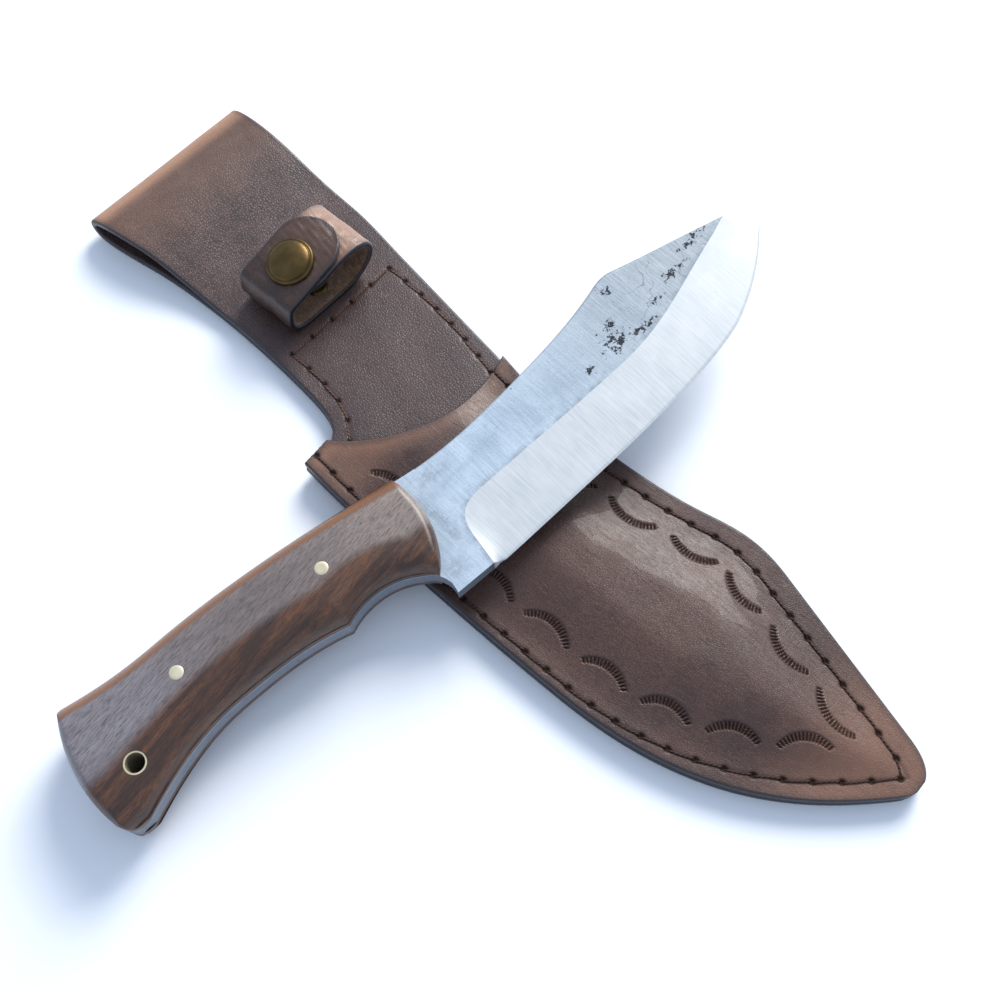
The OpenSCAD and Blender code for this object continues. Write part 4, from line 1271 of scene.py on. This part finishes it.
from_butt, from_front = scale_u - butt_rows[None, :, 0], front_rows[None, :, 0] - scale_u
d_edge = np.minimum(scale_v - lower_v(scale_u), upper_v(scale_u) - scale_v)
d_edge = np.minimum(np.minimum(d_edge, from_butt * 2.2 + 1), from_front * 2.6 + 0.6)
scale_w = scale_full(scale_u) * crown(np.maximum(d_edge, 0.25) / ROLL)
rows, cols = scale_u.shape
scale_uv, scale_grid = open_hole(
    np.stack([scale_u.ravel(), scale_v.ravel()], 1), quads(rows, cols), TUBE_AT, TUBE_R
)
border = border_ring(rows, cols)
top_local = np.column_stack([scale_uv, scale_w.ravel()])
foot = top_local[border].copy()
foot[:, 2] = 0
scale_local = np.vstack([top_local, top_local[border], foot])
scale_faces = np.vstack([scale_grid, quads(2, len(border), len(top_local), close=True, flip=True)])
spine_gap = upper_v(scale_local[:, 0]) - scale_local[:, 1]
# warm: a painted highlight along the spine side; bloom: a painted grey sheen over the upper part of the
# crown.
warm = smooth((5.2 - spine_gap) / 1.8)
scale_depth = upper_v(scale_local[:, 0]) - lower_v(scale_local[:, 0])
scale_share = 1 - spine_gap / np.maximum(scale_depth, 1)
bloom = smooth((scale_share - 0.33) / 0.14) * (1 - warm)
SCALE_GLUE, OTHER_GRAIN = 0.01, 40
for name, base, side, node in (
    ("handle_upper", STEEL_T + SCALE_GLUE, 1, "scale_upper"),
    ("handle_lower", -SCALE_GLUE, -1, "scale_lower"),
):
    local = scale_local.copy()
    local[:, 2] = base + side * local[:, 2]
    faces = scale_faces if side > 0 else scale_faces[:, ::-1]
    shade_place = local + np.array((0, 0, 0 if side > 0 else OTHER_GRAIN))
    piece(
        name, from_knife(local), faces, walnut, "walnut", "knife", [node], 60,
        place=shade_place, warm=warm, bloom=bloom,
    )

# ---- pins and lanyard tube --------------------------------------------------

PROUD = 0.14
PIN_SIDES, TUBE_SIDES = 40, 56


def handle_pin(name, at, node):
    reach = float(scale_full(np.array(at[0]))) + PROUD
    top, low = STEEL_T + reach, -reach
    profile = [
        (0.01, top), (PIN_R * 0.6, top - 0.01), (PIN_R - 0.12, top - 0.03), (PIN_R, top - 0.12),
        (PIN_R, low + 0.12), (PIN_R - 0.12, low + 0.03), (PIN_R * 0.6, low + 0.01), (0.01, low),
    ]
    points, faces = turned(profile, PIN_SIDES)
    points[:, :2] += at
    piece(
        name, from_knife(points), faces[:, ::-1], pin_brass, "brass", "knife", [node], 40,
        sunk=np.zeros(len(points)),
    )


handle_pin("pin_front", FRONT_PIN, "front_pin")
handle_pin("pin_rear", REAR_PIN, "rear_pin")
reach = SCALE_T * 0.985
top, low = STEEL_T + reach, -reach
tube_profile = [
    (TUBE_BORE_R, low + 0.1), (TUBE_BORE_R, top - 0.15), (TUBE_BORE_R + 0.12, top),
    (TUBE_R - 0.05, top), (TUBE_R + 0.02, top - 0.15), (TUBE_R + 0.02, low + 0.15),
    (TUBE_R - 0.05, low), (TUBE_BORE_R + 0.12, low), (TUBE_BORE_R, low + 0.1),
]
tube_points, tube_faces = turned(tube_profile, TUBE_SIDES)
tube_points[:, :2] += TUBE_AT
# The bore painted dark: painted shade inside the lanyard hole.
tube_sunk = np.repeat([1.0, 0.9, 0, 0, 0, 0, 0, 0, 1.0], TUBE_SIDES)
piece(
    "lanyard_liner", from_knife(tube_points), tube_faces[:, ::-1], pin_brass,
    "brass", "knife", ["lanyard_tube"], 40, sunk=tube_sunk,
)

# ---- finishes for the CAD nodes that stay ----------------------------------

for node, finish in (
    ("welt", burnished), ("strap_rivet", antique_brass), ("stud_eyelet", antique_brass),
    ("rivet_washer", antique_brass), ("snap_stud", antique_brass), ("snap_socket", antique_brass),
):
    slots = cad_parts[node].data.materials
    if len(slots):
        for k in range(len(slots)):
            slots[k] = finish
    else:
        slots.append(finish)

# ---- floor, light and camera ------------------------------------------------

floor_finish = Finish("white_table")
floor_finish.set(Base_Color=(0.93, 0.94, 0.96, 1), Roughness=0.7, Specular_IOR_Level=0.2)
FLOOR_SIZE, FLOOR_Z = 6, -0.0002
bpy.ops.mesh.primitive_plane_add(size=FLOOR_SIZE, location=(0, 0, FLOOR_Z))
floor = bpy.context.object
floor.name = "table"
floor.data.materials.append(floor_finish.material)
floor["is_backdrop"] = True

AIM = np.array((10.5, 3.5, 0)) * MM
CAMERA_AZIMUTH, CAMERA_ELEVATION = math.radians(41.65), math.radians(64.5)
CAMERA_DISTANCE = 366 * MM
right = np.array((math.cos(CAMERA_AZIMUTH), math.sin(CAMERA_AZIMUTH), 0))
away = np.array((-math.sin(CAMERA_AZIMUTH), math.cos(CAMERA_AZIMUTH), 0))
back = -away * math.cos(CAMERA_ELEVATION) + np.array((0, 0, 1)) * math.sin(CAMERA_ELEVATION)
camera_data = bpy.data.cameras.new("camera")
camera_data.sensor_width = 36
camera_data.lens = 43.6
camera = bpy.data.objects.new("camera", camera_data)
bpy.context.scene.collection.objects.link(camera)


def aim(obj, at, toward):
    """Places a camera or light so that it looks at a point, with its top away from the viewer."""
    back_axis = Vector(at - toward).normalized()
    up = Vector(away) if abs(back_axis.dot(Vector(away))) < 0.999 else Vector((0, 0, 1))
    x_axis = up.cross(back_axis).normalized()
    y_axis = back_axis.cross(x_axis)
    basis = Matrix((x_axis, y_axis, back_axis)).transposed().to_4x4()
    basis.translation = Vector(at)
    obj.matrix_world = basis


aim(camera, AIM + back * CAMERA_DISTANCE, AIM)
bpy.context.scene.camera = camera


def area_light(name, position, size, power, color):
    data = bpy.data.lights.new(name, "AREA")
    data.shape, data.size, data.energy, data.color = "SQUARE", size, power, color
    light = bpy.data.objects.new(name, data)
    bpy.context.scene.collection.objects.link(light)
    aim(light, position, AIM)


def toward(across_share, away_share, height):
    return AIM + right * across_share + away * away_share + np.array((0, 0, height))


area_light("key", toward(0.8, 1.7, 1.35), 1.2, 69, (1.0, 0.98, 0.95))

world = bpy.data.worlds.new("studio")
bpy.context.scene.world = world
world.use_nodes = True
sky = world.node_tree
sky.nodes["Background"].inputs["Color"].default_value = (0.53, 0.64, 0.82, 1)
sky.nodes["Background"].inputs["Strength"].default_value = 1.0
bpy.context.scene.view_settings.view_transform = "Standard"

low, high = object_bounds()
